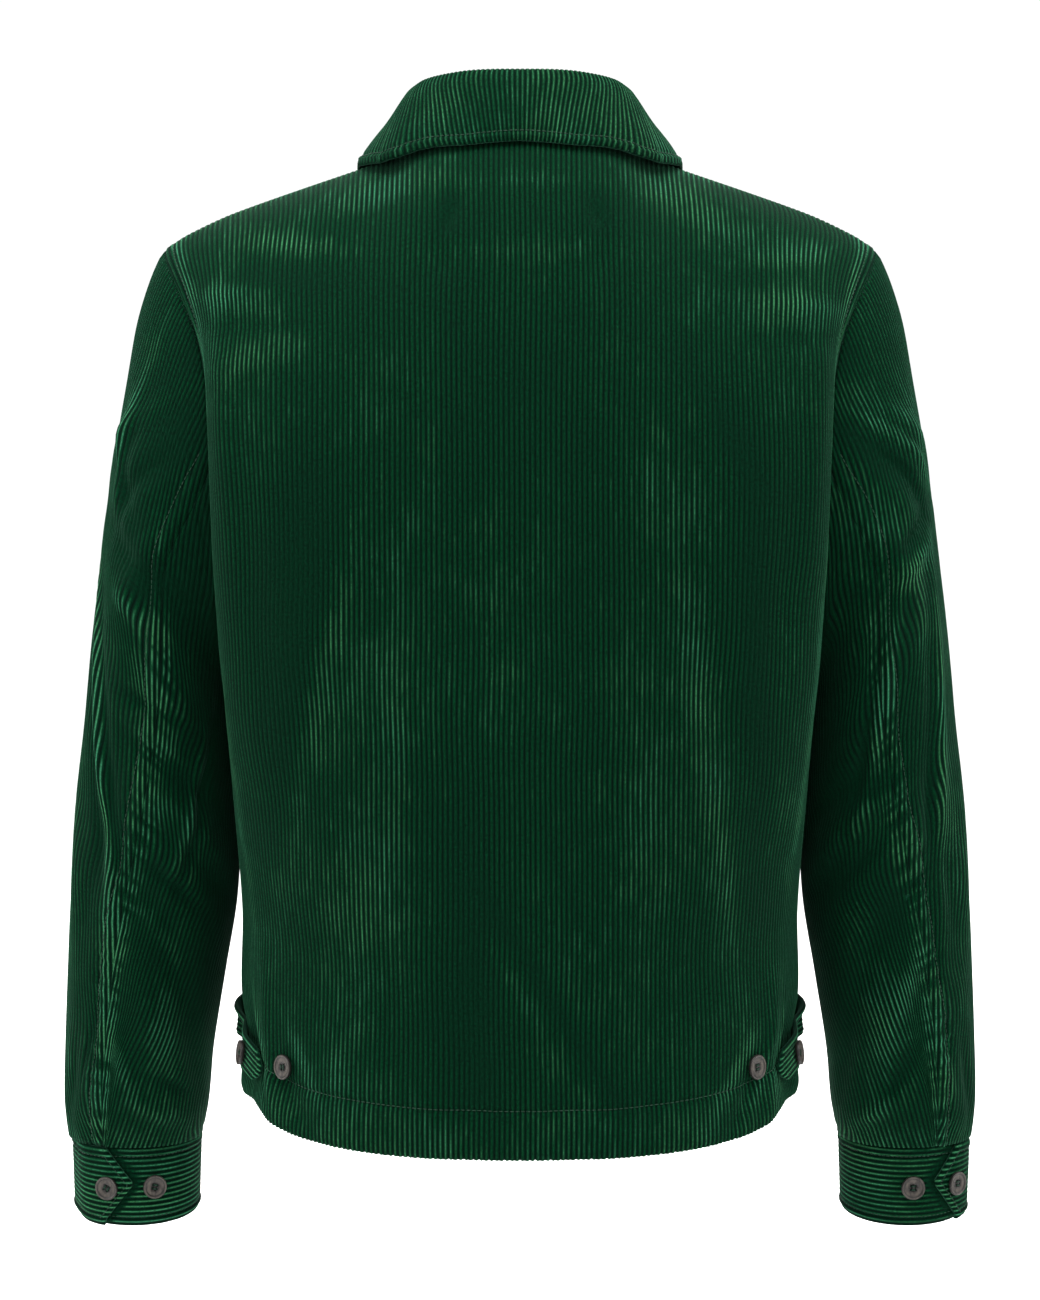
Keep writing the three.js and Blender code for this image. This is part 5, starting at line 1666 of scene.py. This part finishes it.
@dataclass(frozen=True)
class CorduroyFinish:
    """Cotton corduroy: pile standing in ribs, with painted shade in the grooves and painted highlights on the
    crests where the pile is brushed.

    The colours run from the groove's painted shade up to the crest, and then to the brushed pile's painted
    highlight. Scales per millimetre follow the cloth's own measures, and the others are in the object's
    metres.
    """

    name: str = "cotton_corduroy"
    # The groove and flank colours are painted shade down between the ribs; the crest colour is the rib's top.
    groove: str = "#000703"
    flank: str = "#001209"
    # The pressed flank colour is painted shade, for pile pressed flat and for shade in creases and troughs.
    pressed_and_painted_shade: str = "#001509"
    crest: str = "#001f0d"
    # The brushed colours are painted highlights on the crests, where the pile is brushed up.
    brushed: str = "#215039"
    brushed_warm: str = "#265134"
    reverse: str = "#052015"
    streaks_per_mm: float = 0.045
    tufts_per_rib: float = 2.2
    tufts_per_mm: float = 0.65
    cloud_scale: float = 14.0
    dye_scale: float = 22.0
    mottle_scale: float = 75.0
    fuzz_strength: float = 0.55
    fuzz_depth: float = 0.0006
    roughness: float = 0.92
    sheen: float = 0.09
    sheen_roughness: float = 0.35
    sheen_tint: str = "#6fb896"
    specular: float = 0.03

    def make(self) -> bpy.types.Material:
        """Build the material."""
        build = MaterialBuilder(self.name)
        maths = build.maths
        spread = build.spread
        rib, along, pile, nap_and_painted_light = (build.measure(name) for name in ("rib", "along", "pile", "nap_and_painted_light"))
        place = build.place()
        from_crest = maths("MULTIPLY", maths("ABSOLUTE", maths("SUBTRACT", maths("FRACT", rib), 0.5)), 2.0)
        # Streaks of pile that lean one way or the other: one rib wide and 10 to 30 mm long.
        run = maths("MULTIPLY", along, self.streaks_per_mm)
        streak = build.noise(build.add("ShaderNodeCombineXYZ", X=rib, Y=run).outputs[0], 1.0, 2.0, 0.6)
        # Tufts along a rib are 0.5 mm wide, drawn about 1.5 mm wide so that they show.
        beside = maths("MULTIPLY", rib, self.tufts_per_rib)
        run = maths("MULTIPLY", along, self.tufts_per_mm)
        tuft = build.noise(build.add("ShaderNodeCombineXYZ", X=beside, Y=run).outputs[0], 1.0, 3.0, 0.75)
        # Soft areas where the nap is pressed or brushed, 8 to 100 mm across, and slow drifts of the dye.
        cloud = maths("MULTIPLY", build.noise(place, self.cloud_scale, 3.0, 0.55), 1.2)
        mottle = maths("MULTIPLY", build.noise(place, self.mottle_scale, 2.0, 0.6), 0.6)
        dye = build.noise(place, self.dye_scale, 1.0)
        # The nap measure's painted light and shade, with the random soft areas added.
        brushed = maths("ADD", nap_and_painted_light, maths("SUBTRACT", maths("ADD", cloud, mottle), 0.9))
        lit = maths("ADD", brushed, spread(streak, 0.35, 0.75, -0.1, 0.26))
        wobble = maths("MULTIPLY", maths("SUBTRACT", tuft, 0.5), 0.5)
        height = maths("ADD", from_crest, wobble)
        # Painted shade from the groove up the flank to the crest; the crest colour spreads further where the
        # nap measure paints light.
        flank = build.blend(spread(height, 0.98, 0.6), linear(self.groove), linear(self.flank))
        crest_share = maths("MULTIPLY", spread(height, 0.7, 0.1), spread(brushed, -0.9, 0.3, 0.2, 1.0))
        crest = build.blend(crest_share, flank, linear(self.crest))
        # Painted highlight: a thin light line along each crest, stronger where the nap measure paints light,
        # tinted at random by the dye.
        bright_share = maths("MULTIPLY", spread(height, 0.46, 0.04), spread(lit, 0.0, 1.15))
        tint = build.blend(spread(dye, 0.35, 0.65), linear(self.brushed), linear(self.brushed_warm))
        bright = build.blend(bright_share, crest, tint)
        # Painted shade: the pressed flank colour where the nap measure is below 0.
        pressed_with_painted_shade = build.blend(spread(brushed, -0.1, -0.9, 0.0, 0.7), bright, linear(self.pressed_and_painted_shade))
        cloth = build.blend(pile, linear(self.reverse), pressed_with_painted_shade)
        speckle = spread(tuft, 0.32, 0.68, 0.5, 1.6)
        colour = build.add("ShaderNodeHueSaturation", Value=speckle, Color=cloth).outputs[0]
        return build.finish(
            maths("MULTIPLY", tuft, maths("ADD", pile, 0.25)),
            self.fuzz_strength,
            self.fuzz_depth,
            Base_Color=colour,
            Roughness=self.roughness,
            IOR=1.45,
            Specular_IOR_Level=self.specular,
            Sheen_Weight=self.sheen,
            Sheen_Roughness=self.sheen_roughness,
            Sheen_Tint=linear(self.sheen_tint),
        )


@dataclass(frozen=True)
class ThreadFinish:
    """Polyester sewing thread in the cloth's own green: a fine twist with a slight shine."""

    name: str = "sewing_thread"
    colour: str = "#06291a"
    dark: str = "#02180d"
    twist_mm: float = 0.5

    def make(self) -> bpy.types.Material:
        """Build the material."""
        build = MaterialBuilder(self.name)
        twist = build.noise(build.place(), 1 / (self.twist_mm * MM), 1.0)
        colour = build.blend(twist, linear(self.dark), linear(self.colour))
        look = {"Base_Color": colour, "Roughness": 0.6, "IOR": 1.5, "Specular_IOR_Level": 0.2}
        return build.finish(twist, 0.4, 0.0001, **look)


@dataclass(frozen=True)
class HornFinish:
    """Moulded polyester made to look like grey-brown horn: cloudy streaks under a semi-gloss face, with
    painted shade in the dished middle, inside the rim and round its side.
    """

    name: str = "horn_look_polyester"
    light: str = "#3d3731"
    dark: str = "#1a1614"
    # The deep colour is painted shade, laid where the button's shade measure says.
    deep: str = "#030302"
    roughness: float = 0.5

    def make(self) -> bpy.types.Material:
        """Build the material."""
        build = MaterialBuilder(self.name)
        place = build.place()
        # Streaks about 3 mm wide and 10 mm long, as in sliced horn.
        turned = build.add("ShaderNodeMapping", Vector=place, Scale=(330.0, 330.0, 100.0)).outputs[0]
        ramp = build.add("ShaderNodeValToRGB", Fac=build.noise(turned, 1.0, 4.0, 0.6, Distortion=0.6))
        for stop, position, colour in zip(ramp.color_ramp.elements, (0.35, 0.68), (self.dark, self.light)):
            stop.position = position
            stop.color = linear(colour)
        # Painted shade from the button's shade measure, towards the deep colour.
        depth = build.maths("MULTIPLY", build.measure("shade"), 0.95)
        face = build.blend(depth, ramp.outputs[0], linear(self.deep))
        look = {"Base_Color": face, "Roughness": self.roughness, "IOR": 1.54, "Specular_IOR_Level": 0.2}
        return build.finish(build.noise(place, 2500.0), 0.15, 0.0001, **look)


@dataclass(frozen=True)
class PaleFinish:
    """Matt white paper of a studio floor."""

    name: str = "studio_paper"
    colour: str = "#fcfcfc"

    def make(self) -> bpy.types.Material:
        """Build the material."""
        build = MaterialBuilder(self.name)
        grain = build.noise(build.place(), 300.0)
        return build.finish(grain, 0.02, 0.0005, Base_Color=linear(self.colour), Roughness=0.9)


def stitch_tree(thread: bpy.types.Material) -> bpy.types.NodeTree:
    """Geometry Nodes that lay stitches end to end along the edges of a mesh.

    Args:
        thread: The thread's material.

    Returns:
        The tree, with its sizes as named inputs.
    """
    tree = bpy.data.node_groups.new("stitch_run", "GeometryNodeTree")
    tree.interface.new_socket("Path", in_out="INPUT", socket_type="NodeSocketGeometry")
    for name, value in (("Stitch pitch", 0.0034), ("Stitch length", 0.0028), ("Thread radius", 0.0003)):
        socket = tree.interface.new_socket(name, in_out="INPUT", socket_type="NodeSocketFloat")
        socket.default_value = value
    tree.interface.new_socket("Stitches", in_out="OUTPUT", socket_type="NodeSocketGeometry")
    build = NodeBuilder(tree)
    given = build.add("NodeGroupInput").outputs
    curve = build.add("GeometryNodeMeshToCurve", in_0=given["Path"]).outputs[0]
    pitch = given["Stitch pitch"]
    spots = build.add("GeometryNodeCurveToPoints", {"mode": "LENGTH"}, Curve=curve, Length=pitch)
    turn = build.add("FunctionNodeAlignRotationToVector", {"axis": "Z"}, Vector=spots.outputs["Tangent"])
    length = given["Stitch length"]
    half = build.add("ShaderNodeMath", {"operation": "MULTIPLY"}, in_0=length, in_1=0.5).outputs[0]
    radius = given["Thread radius"]
    scale = build.add("ShaderNodeCombineXYZ", X=radius, Y=radius, Z=half).outputs[0]
    bead = build.add("GeometryNodeMeshUVSphere", Segments=6, Rings=4, Radius=1.0).outputs[0]
    laid = build.add(
        "GeometryNodeInstanceOnPoints",
        Points=spots.outputs["Points"],
        Instance=bead,
        Rotation=turn.outputs[0],
        Scale=scale,
    )
    real = build.add("GeometryNodeRealizeInstances", in_0=laid.outputs[0]).outputs[0]
    soft = build.add("GeometryNodeSetShadeSmooth", in_0=real).outputs[0]
    dyed = build.add("GeometryNodeSetMaterial", Geometry=soft, Material=thread).outputs[0]
    build.add("NodeGroupOutput", in_0=dyed)
    return tree


@dataclass
class Stitching:
    """Rows of stitches of one part of the jacket."""

    name: str
    paths: list[np.ndarray]
    pitch: float = 3.4
    length: float = 2.9
    radius: float = 0.32

    def build(self, tree: bpy.types.NodeTree, thread: bpy.types.Material) -> bpy.types.Object:
        """Lay the stitches and return them as one plain mesh."""
        points = np.concatenate(self.paths) * MM
        edges = []
        start = 0
        for path in self.paths:
            edges += [(start + i, start + i + 1) for i in range(len(path) - 1)]
            start += len(path)
        guide_mesh = bpy.data.meshes.new(f"{self.name}_path")
        guide_mesh.from_pydata(points.tolist(), edges, [])
        guide = bpy.data.objects.new(f"{self.name}_path", guide_mesh)
        bpy.context.scene.collection.objects.link(guide)
        modifier = guide.modifiers.new("stitches", "NODES")
        modifier.node_group = tree
        sizes = {"Stitch pitch": self.pitch, "Stitch length": self.length, "Thread radius": self.radius}
        for item in tree.interface.items_tree:
            if item.item_type == "SOCKET" and item.name in sizes:
                modifier[item.identifier] = sizes[item.name] * MM
        scene = bpy.context.evaluated_depsgraph_get()
        mesh = bpy.data.meshes.new_from_object(guide.evaluated_get(scene))
        mesh.name = self.name
        bpy.data.objects.remove(guide)
        bpy.data.meshes.remove(guide_mesh)
        if not mesh.materials:
            mesh.materials.append(thread)
        piece = bpy.data.objects.new(self.name, mesh)
        bpy.context.scene.collection.objects.link(piece)
        return piece


# A button's rim as radius and height, from the dish's border over the top to the back's border
BUTTON_RIM = (
    (5.6, 2.02),
    (6.3, 2.18),
    (6.8, 2.6),
    (7.2, 2.8),
    (7.6, 2.72),
    (7.92, 2.4),
    (8.0, 1.9),
    (8.0, 1.1),
    (7.75, 0.5),
    (7.2, 0.12),
    (6.6, 0.0),
)


FINE_STITCH = {"pitch": 3.0, "length": 2.5, "radius": 0.28}


@dataclass(frozen=True)
class ButtonShape:
    """A moulded four-hole button, 16 mm across, with a raised rim and a dished middle."""

    hole_radius: float = 1.05
    hole_spacing: float = 1.75
    sides: int = 40
    hole_sides: int = 12
    dish_rings: tuple[float, float] = (5.6, 4.4)
    dish_height: float = 1.78
    dish_rise: float = 0.24
    thread_gap: float = 0.22
    thread_low: float = 0.6
    thread_face: float = 1.95
    thread_top: float = 2.25

    def flat_mesh(self) -> tuple[np.ndarray, list, list, list]:
        """The dish in plan: its points, its triangles, its border and its four holes' borders."""
        a = np.arange(self.sides) * 2 * math.pi / self.sides
        rings = [np.stack((np.cos(a), np.sin(a)), 1) * r for r in self.dish_rings]
        hole_angle = np.arange(self.hole_sides) * 2 * math.pi / self.hole_sides
        holes = []
        for k in range(4):
            middle = (k + 0.5) * math.pi / 2
            centre = self.hole_spacing * np.array((math.cos(middle), math.sin(middle)))
            holes.append(centre + self.hole_radius * np.stack((np.cos(hole_angle), np.sin(hole_angle)), 1))
        points = np.concatenate([*rings, *holes, [[0.0, 0.0]]])
        edges = []
        loops = []
        start = 0
        for ring in [*rings, *holes]:
            loop = list(range(start, start + len(ring)))
            edges += list(zip(loop, loop[1:] + loop[:1]))
            loops.append(loop)
            start += len(ring)
        flat = delaunay_2d_cdt([Vector(p) for p in points.tolist()], edges, [], 0, 1e-6)
        found = np.array([tuple(p) for p in flat[0]])
        triangles = []
        for face in flat[2]:
            middle = found[list(face)].mean(axis=0)
            centres = [np.mean(hole, axis=0) for hole in holes]
            if min(np.linalg.norm(middle - c) for c in centres) > self.hole_radius * 0.9:
                triangles.append(tuple(face))
        return points, triangles, loops[0], loops[2:]

    def points_and_faces(self) -> tuple[np.ndarray, np.ndarray]:
        """The whole button, lying on its back at the origin with its face up."""
        flat, triangles, border, holes = self.flat_mesh()
        r = np.linalg.norm(flat, axis=1)
        face_z = self.dish_height + self.dish_rise * (r / self.dish_rings[0]) ** 2
        points = [*np.column_stack((flat, face_z))]
        count = len(flat)
        points += [*np.column_stack((flat, np.zeros(count)))]
        faces = [*triangles, *[(c + count, b + count, a + count) for a, b, c in triangles]]
        previous = border
        a = np.arange(self.sides) * 2 * math.pi / self.sides
        for radius, height in BUTTON_RIM[1:]:
            ring = list(range(len(points), len(points) + self.sides))
            points += [*np.stack((radius * np.cos(a), radius * np.sin(a), np.full(self.sides, height)), 1)]
            faces += self.band(previous, ring)
            previous = ring
        faces += self.band(previous, [b + count for b in border])
        for hole in holes:
            faces += self.band([h + count for h in hole], hole)
        return np.array(points), np.array(faces)

    @staticmethod
    def band(one: list[int], two: list[int]) -> list[tuple[int, int, int]]:
        """Triangles between two rings, the first nearer the face's middle."""
        faces = []
        n = len(one)
        for i in range(n):
            j = (i + 1) % n
            faces += [(one[i], two[i], two[j]), (one[i], two[j], one[j])]
        return faces

    def make(self, name: str, centre: np.ndarray, normal: np.ndarray, turn: float) -> bpy.types.Object:
        """Place one button on the jacket.

        Args:
            name: The node it stands for.
            centre: The middle of its back, in millimetres.
            normal: The direction its face looks in.
            turn: How far it is turned about that direction, in degrees.

        Returns:
            The button.
        """
        points, faces = self.points_and_faces()
        where = placing(centre, normal, turn)
        r = np.linalg.norm(points[:, :2], axis=1)
        # Painted shade: darker in the dished middle, in the groove inside the rim and down the side.
        shade = 1 - smooth(2.8, 4.4, r) + bell(r - 6.3, 0.5) + smooth(7.3, 8, r)
        return MeshData(name, points @ where[:3, :3].T + where[:3, 3], faces, {"shade": shade}).make()

    def thread_runs(self, centre: np.ndarray, normal: np.ndarray, turn: float) -> list[np.ndarray]:
        """Two runs of thread over the face and a short shank below, as points in millimetres."""
        where = placing(centre, normal, turn)
        offset = self.hole_spacing / math.sqrt(2)
        x = np.array((-offset, -offset, 0, offset, offset))
        z = (self.thread_low, self.thread_face, self.thread_top, self.thread_face, self.thread_low)
        runs = []
        for row in (-offset, offset):
            for shift in (-self.thread_gap, self.thread_gap):
                run = np.stack((x, np.full(len(x), row + shift), z), 1)
                runs.append(run @ where[:3, :3].T + where[:3, 3])
        return runs


def placing(centre: np.ndarray, normal: np.ndarray, turn: float) -> np.ndarray:
    """The 4 by 4 matrix that lays something made at the origin, face up, at a place and direction."""
    spin = Matrix.Rotation(math.radians(turn), 4, "Z")
    face = Vector((0, 0, 1)).rotation_difference(Vector(normal.tolist())).to_matrix().to_4x4()
    return np.array(Matrix.Translation(Vector(centre.tolist())) @ face @ spin)


def thread_tubes(name: str, runs: list[np.ndarray], radius: float) -> bpy.types.Object:
    """Thin round thread along runs of points.

    Args:
        name: The piece's name.
        runs: Points of each thread, in millimetres.
        radius: The thread's radius in millimetres.

    Returns:
        One mesh of closed tubes.
    """
    sides = 6
    points = []
    faces = []
    for run in runs:
        tangent = unit(np.gradient(run, axis=0))
        reference = unit(run[0] - run.mean(axis=0) + np.array((0.01, 0.02, 0.03)))
        across = unit(np.cross(tangent, np.cross(reference, tangent[len(run) // 2])))
        other = np.cross(tangent, across)
        start = len(points)
        for k in range(len(run)):
            for i in range(sides):
                a = 2 * math.pi * i / sides
                points.append(run[k] + radius * (math.cos(a) * across[k] + math.sin(a) * other[k]))
        for k in range(len(run) - 1):
            for i in range(sides):
                a, b = start + k * sides + i, start + k * sides + (i + 1) % sides
                faces += [(a, b, b + sides), (a, b + sides, a + sides)]
        for k, flip in ((0, True), (len(run) - 1, False)):
            ring = [start + k * sides + i for i in range(sides)]
            for i in range(1, sides - 1):
                faces.append((ring[0], ring[i + 1], ring[i]) if flip else (ring[0], ring[i], ring[i + 1]))
    return MeshData(name, np.array(points), np.array(faces)).make()


@dataclass
class ButtonSpot:
    """Where one button sits."""

    name: str
    centre: np.ndarray
    normal: np.ndarray
    turn: float


FRONT_BUTTON_ROWS = (0.86, 0.5, 0.1, -0.26, -0.6, -0.93)
CUFF_BUTTON_TURNS = {"buttoned": 22, "spare": -18}
TAB_BUTTON_AT = 0.82
TAB_BUTTON_LIFT = 1.15
WAIST_BUTTON_DISTANCE = -104
WAIST_BUTTON_Z = -574
WAIST_BUTTON_LIFT = 1.8
BUTTON_LIFT = 0.5


def button_spots(cuffs: list[CuffShape], tabs: list[TabShape]) -> list[ButtonSpot]:
    """The fourteen buttons, each laid on the cloth of this scene; a tab's button follows its strap."""
    spots = []
    for i, v in enumerate(FRONT_BUTTON_ROWS, 1):
        at = np.array([0.01])
        point = SHAPE.face(SHAPE.front, at, v, CLOTH + LAYER_GAP)[0]
        normal = unit(SHAPE.normals(SHAPE.front, at, v)[0] * (0, 1, 1))
        spots.append(ButtonSpot(f"front_button_{i}", point + normal * BUTTON_LIFT, normal, 17.0 * i))
    for cuff in cuffs:
        flip = cuff.side.flip
        for word, turn in CUFF_BUTTON_TURNS.items():
            angle = np.array([cuff.point_angle + turn])
            lift = DOUBLED_CLOTH + LAYER_GAP if turn > 0 else 0.0
            down = np.array([0.5])
            point = cuff.points(angle, down, np.array([lift]))[0]
            beside = cuff.points(angle + 1, down, np.array([lift]))[0] - point
            normal = unit(np.array((-beside[1], beside[0], 0)))
            if normal @ (point - np.array((cuff.centre_x, cuff.centre_y, point[2]))) < 0:
                normal = -normal
            name = f"{cuff.side.word}_cuff_{word}_button"
            spots.append(ButtonSpot(name, (point + normal * BUTTON_LIFT) * flip, normal * flip, 20.0 + turn))
    for tab in tabs:
        flip = tab.side.flip
        middle, level = tab.place(TAB_BUTTON_AT, 0.5)
        before, after = (tab.place(TAB_BUTTON_AT + step, 0.5) for step in (-0.07, 0.07))
        along = after[0] + after[1] * tab.cloth - before[0] - before[1] * tab.cloth
        across = tab.place(TAB_BUTTON_AT, 0.7)[0] - tab.place(TAB_BUTTON_AT, 0.3)[0]
        normal = facing(unit(np.cross(along, across)), level)
        point = middle + level * tab.cloth + normal * TAB_BUTTON_LIFT
        spots.append(ButtonSpot(f"{tab.side.word}_tab_button", point * flip, normal * flip, 30.0))
        waist, out = SHAPE.round_side(WAIST_BUTTON_DISTANCE, WAIST_BUTTON_Z, True)
        waist = waist + out * WAIST_BUTTON_LIFT
        spots.append(ButtonSpot(f"{tab.side.word}_waist_button", waist * flip, out * flip, 50.0))
    return spots


@dataclass
class Studio:
    """Pale floor, soft lights and the camera of the photograph."""

    look_at: tuple[float, float, float] = (0.0, 0.0, -0.32)
    distance: float = 2.6
    elevation: float = 8.0
    focal_pixels: float = 4000.0
    frame_height: float = 1300.0
    floor_z: float = -1.15
    floor_reach: float = 9.0
    world_light: float = 1.05

    def build(self) -> None:
        """Set up floor, world, lights and camera."""
        self.add_floor()
        self.add_world()
        self.add_light("overhead_softbox", (0.0, -0.6, 1.9), 1.8, 170.0)
        self.add_light("camera_side_fill", (0.0, -3.2, 0.3), 2.6, 24.0)
        self.add_light("left_strip", (-2.2, -0.5, 0.3), 1.2, 52.0)
        self.add_light("right_strip", (2.2, -0.5, 0.3), 1.2, 40.0)
        self.add_light("front_fill", (0.0, 2.8, 0.9), 2.4, 60.0)
        self.add_camera()
        bpy.context.scene.view_settings.view_transform = "Standard"

    def add_floor(self) -> None:
        """A wide flat floor below the jacket."""
        corners = np.array(((-1, -1, 0), (1, -1, 0), (1, 1, 0), (-1, 1, 0)))
        points = (self.floor_reach * corners + (0, 0, self.floor_z)) / MM
        floor = MeshData("studio_floor", points, np.array([(0, 1, 2), (0, 2, 3)])).make(False)
        floor.data.materials.append(PaleFinish().make())

    def add_world(self) -> None:
        """An even white surround."""
        world = bpy.data.worlds.new("studio_white")
        world.use_nodes = True
        background = world.node_tree.nodes["Background"]
        background.inputs[0].default_value = (1.0, 1.0, 1.0, 1.0)
        background.inputs[1].default_value = self.world_light
        bpy.context.scene.world = world

    def add_light(self, name: str, place: tuple[float, float, float], size: float, power: float) -> None:
        """One square soft light that faces the jacket."""
        data = bpy.data.lights.new(name, "AREA")
        data.shape = "SQUARE"
        data.size = size
        data.energy = power
        light = bpy.data.objects.new(name, data)
        light.location = place
        light.rotation_euler = (Vector(self.look_at) - Vector(place)).to_track_quat("-Z", "Y").to_euler()
        bpy.context.scene.collection.objects.link(light)

    def add_camera(self) -> None:
        """The photograph's camera: level behind the jacket, a little above its middle."""
        data = bpy.data.cameras.new("photograph_camera")
        data.sensor_width = 36.0
        data.lens = 36.0 * self.focal_pixels / self.frame_height
        data.clip_end = 50.0
        data.dof.use_dof = False
        camera = bpy.data.objects.new("photograph_camera", data)
        a = math.radians(self.elevation)
        away = Vector((0.0, -math.cos(a), math.sin(a))) * self.distance
        camera.location = Vector(self.look_at) + away
        camera.rotation_euler = (-away).to_track_quat("-Z", "Y").to_euler()
        bpy.context.scene.collection.objects.link(camera)
        bpy.context.scene.camera = camera


@dataclass
class Jacket:
    """The whole jacket: builds each piece and dresses it."""

    cloth: bpy.types.Material = field(default_factory=lambda: CorduroyFinish().make())
    thread: bpy.types.Material = field(default_factory=lambda: ThreadFinish().make())
    horn: bpy.types.Material = field(default_factory=lambda: HornFinish().make())
    sleeve: SleeveShape = field(default_factory=SleeveShape)
    stitches: list[Stitching] = field(default_factory=list)

    def add_cloth(
        self, mesh: MeshData, flat: tuple[float, float], area: float, held: Held, on: list[str]
    ) -> None:
        """Turn a cloth mesh into a finished piece.

        Args:
            mesh: The closed shell, named as the node it stands for.
            flat: Width and length that the piece was cut to, in metres; not used.
            area: Its cut area in square metres.
            held: How the cloth is held; not used.
            on: What it rests on; not used.
        """
        piece = mesh.make()
        piece.name = f"{mesh.name}_cloth"
        piece.data.materials.append(self.cloth)
        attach(piece, "root")
        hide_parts(mesh.name)
        count = len(mesh.triangles)
        LOG.info("%s: %d triangles, %.4f m2 a side, cut %.4f m2", mesh.name, count, mesh.area() / 2e6, area)

    def body(self) -> None:
        """The back and the two fronts."""
        back = BodyPanel("back", SHAPE.back, BACK_CREASES, BACK_NAP_AND_PAINTED_LIGHT)
        self.add_cloth(back.build(), (0.58, 0.70), 0.355, Held.DRAPED, ["left_front", "right_front"])
        self.stitches.append(Stitching("back_stitching", back.stitch_paths()))
        for side in Side:
            name = f"{side.word}_front"
            front = BodyPanel(name, SHAPE.front, (), BACK_NAP_AND_PAINTED_LIGHT, side)
            self.add_cloth(front.build(), (0.30, 0.66), 0.165, Held.DRAPED, ["back"])
            self.stitches.append(Stitching(f"{name}_stitching", front.stitch_paths()))

    def collar(self) -> None:
        """The collar."""
        mesh, paths = CollarShape().build()
        self.add_cloth(mesh, (0.56, 0.11), 0.056, Held.FOLDED, ["back", "left_front", "right_front"])
        self.stitches.append(Stitching("collar_stitching", paths))

    def sleeves(self) -> None:
        """Both sleeves, each in two pieces."""
        left = (Side.LEFT, LEFT_SLEEVE_CREASES, LEFT_SLEEVE_NAP_AND_PAINTED_LIGHT)
        right = (Side.RIGHT, RIGHT_SLEEVE_CREASES, RIGHT_SLEEVE_NAP_AND_PAINTED_LIGHT)
        for side, creases, naps in (left, right):
            paths = []
            for part, flat, area in (
                (SleevePart.TOP, (0.28, 0.60), 0.135),
                (SleevePart.UNDER, (0.20, 0.52), 0.070),
            ):
                piece = SleevePiece(self.sleeve, part, side, creases, naps)
                self.add_cloth(piece.build(), flat, area, Held.HUNG, ["back", f"{side.word}_front"])
                paths += piece.stitch_paths()
            self.stitches.append(Stitching(f"{side.word}_sleeve_stitching", paths))

    def trims(self) -> None:
        """Cuffs, side tabs and buttons."""
        cuffs = [CuffShape(Side.LEFT, 88), CuffShape(Side.RIGHT, 112)]
        tabs = [TabShape(Side.LEFT), TabShape(Side.RIGHT)]
        for cuff in cuffs:
            word = cuff.side.word
            self.add_cloth(cuff.build(), (0.049, 0.285), 0.0134, Held.FOLDED, [f"{word}_top_sleeve"])
            self.stitches.append(Stitching(f"{word}_cuff_stitching", cuff.stitch_paths(), **FINE_STITCH))
        for tab in tabs:
            word = tab.side.word
            self.add_cloth(tab.build(), (0.023, 0.13), 0.0029, Held.FOLDED, [f"{word}_front", "back"])
            self.stitches.append(Stitching(f"{word}_tab_stitching", tab.stitch_paths(), **FINE_STITCH))
        runs = []
        shape = ButtonShape()
        for spot in button_spots(cuffs, tabs):
            button = shape.make(spot.name, spot.centre, spot.normal, spot.turn)
            button.name = f"{spot.name}_moulded"
            button.data.materials.append(self.horn)
            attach(button, "root")
            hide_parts(spot.name)
            runs += shape.thread_runs(spot.centre, spot.normal, spot.turn)
        threads = thread_tubes("button_threads", runs, 0.24)
        threads.data.materials.append(self.thread)
        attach(threads, "root")
        LOG.info("buttons and their threads")

    def sew(self) -> None:
        """All the rows of stitches."""
        tree = stitch_tree(self.thread)
        for run in self.stitches:
            piece = run.build(tree, self.thread)
            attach(piece, "root")
            LOG.info("%s: %d faces", run.name, len(piece.data.polygons))


def main() -> None:
    """Build the studio and the jacket in order."""
    logging.basicConfig(level=logging.INFO, format="%(name)s: %(message)s")
    Studio().build()
    jacket = Jacket()
    jacket.body()
    jacket.collar()
    jacket.sleeves()
    jacket.trims()
    jacket.sew()


if __name__ == "__main__":
    main()
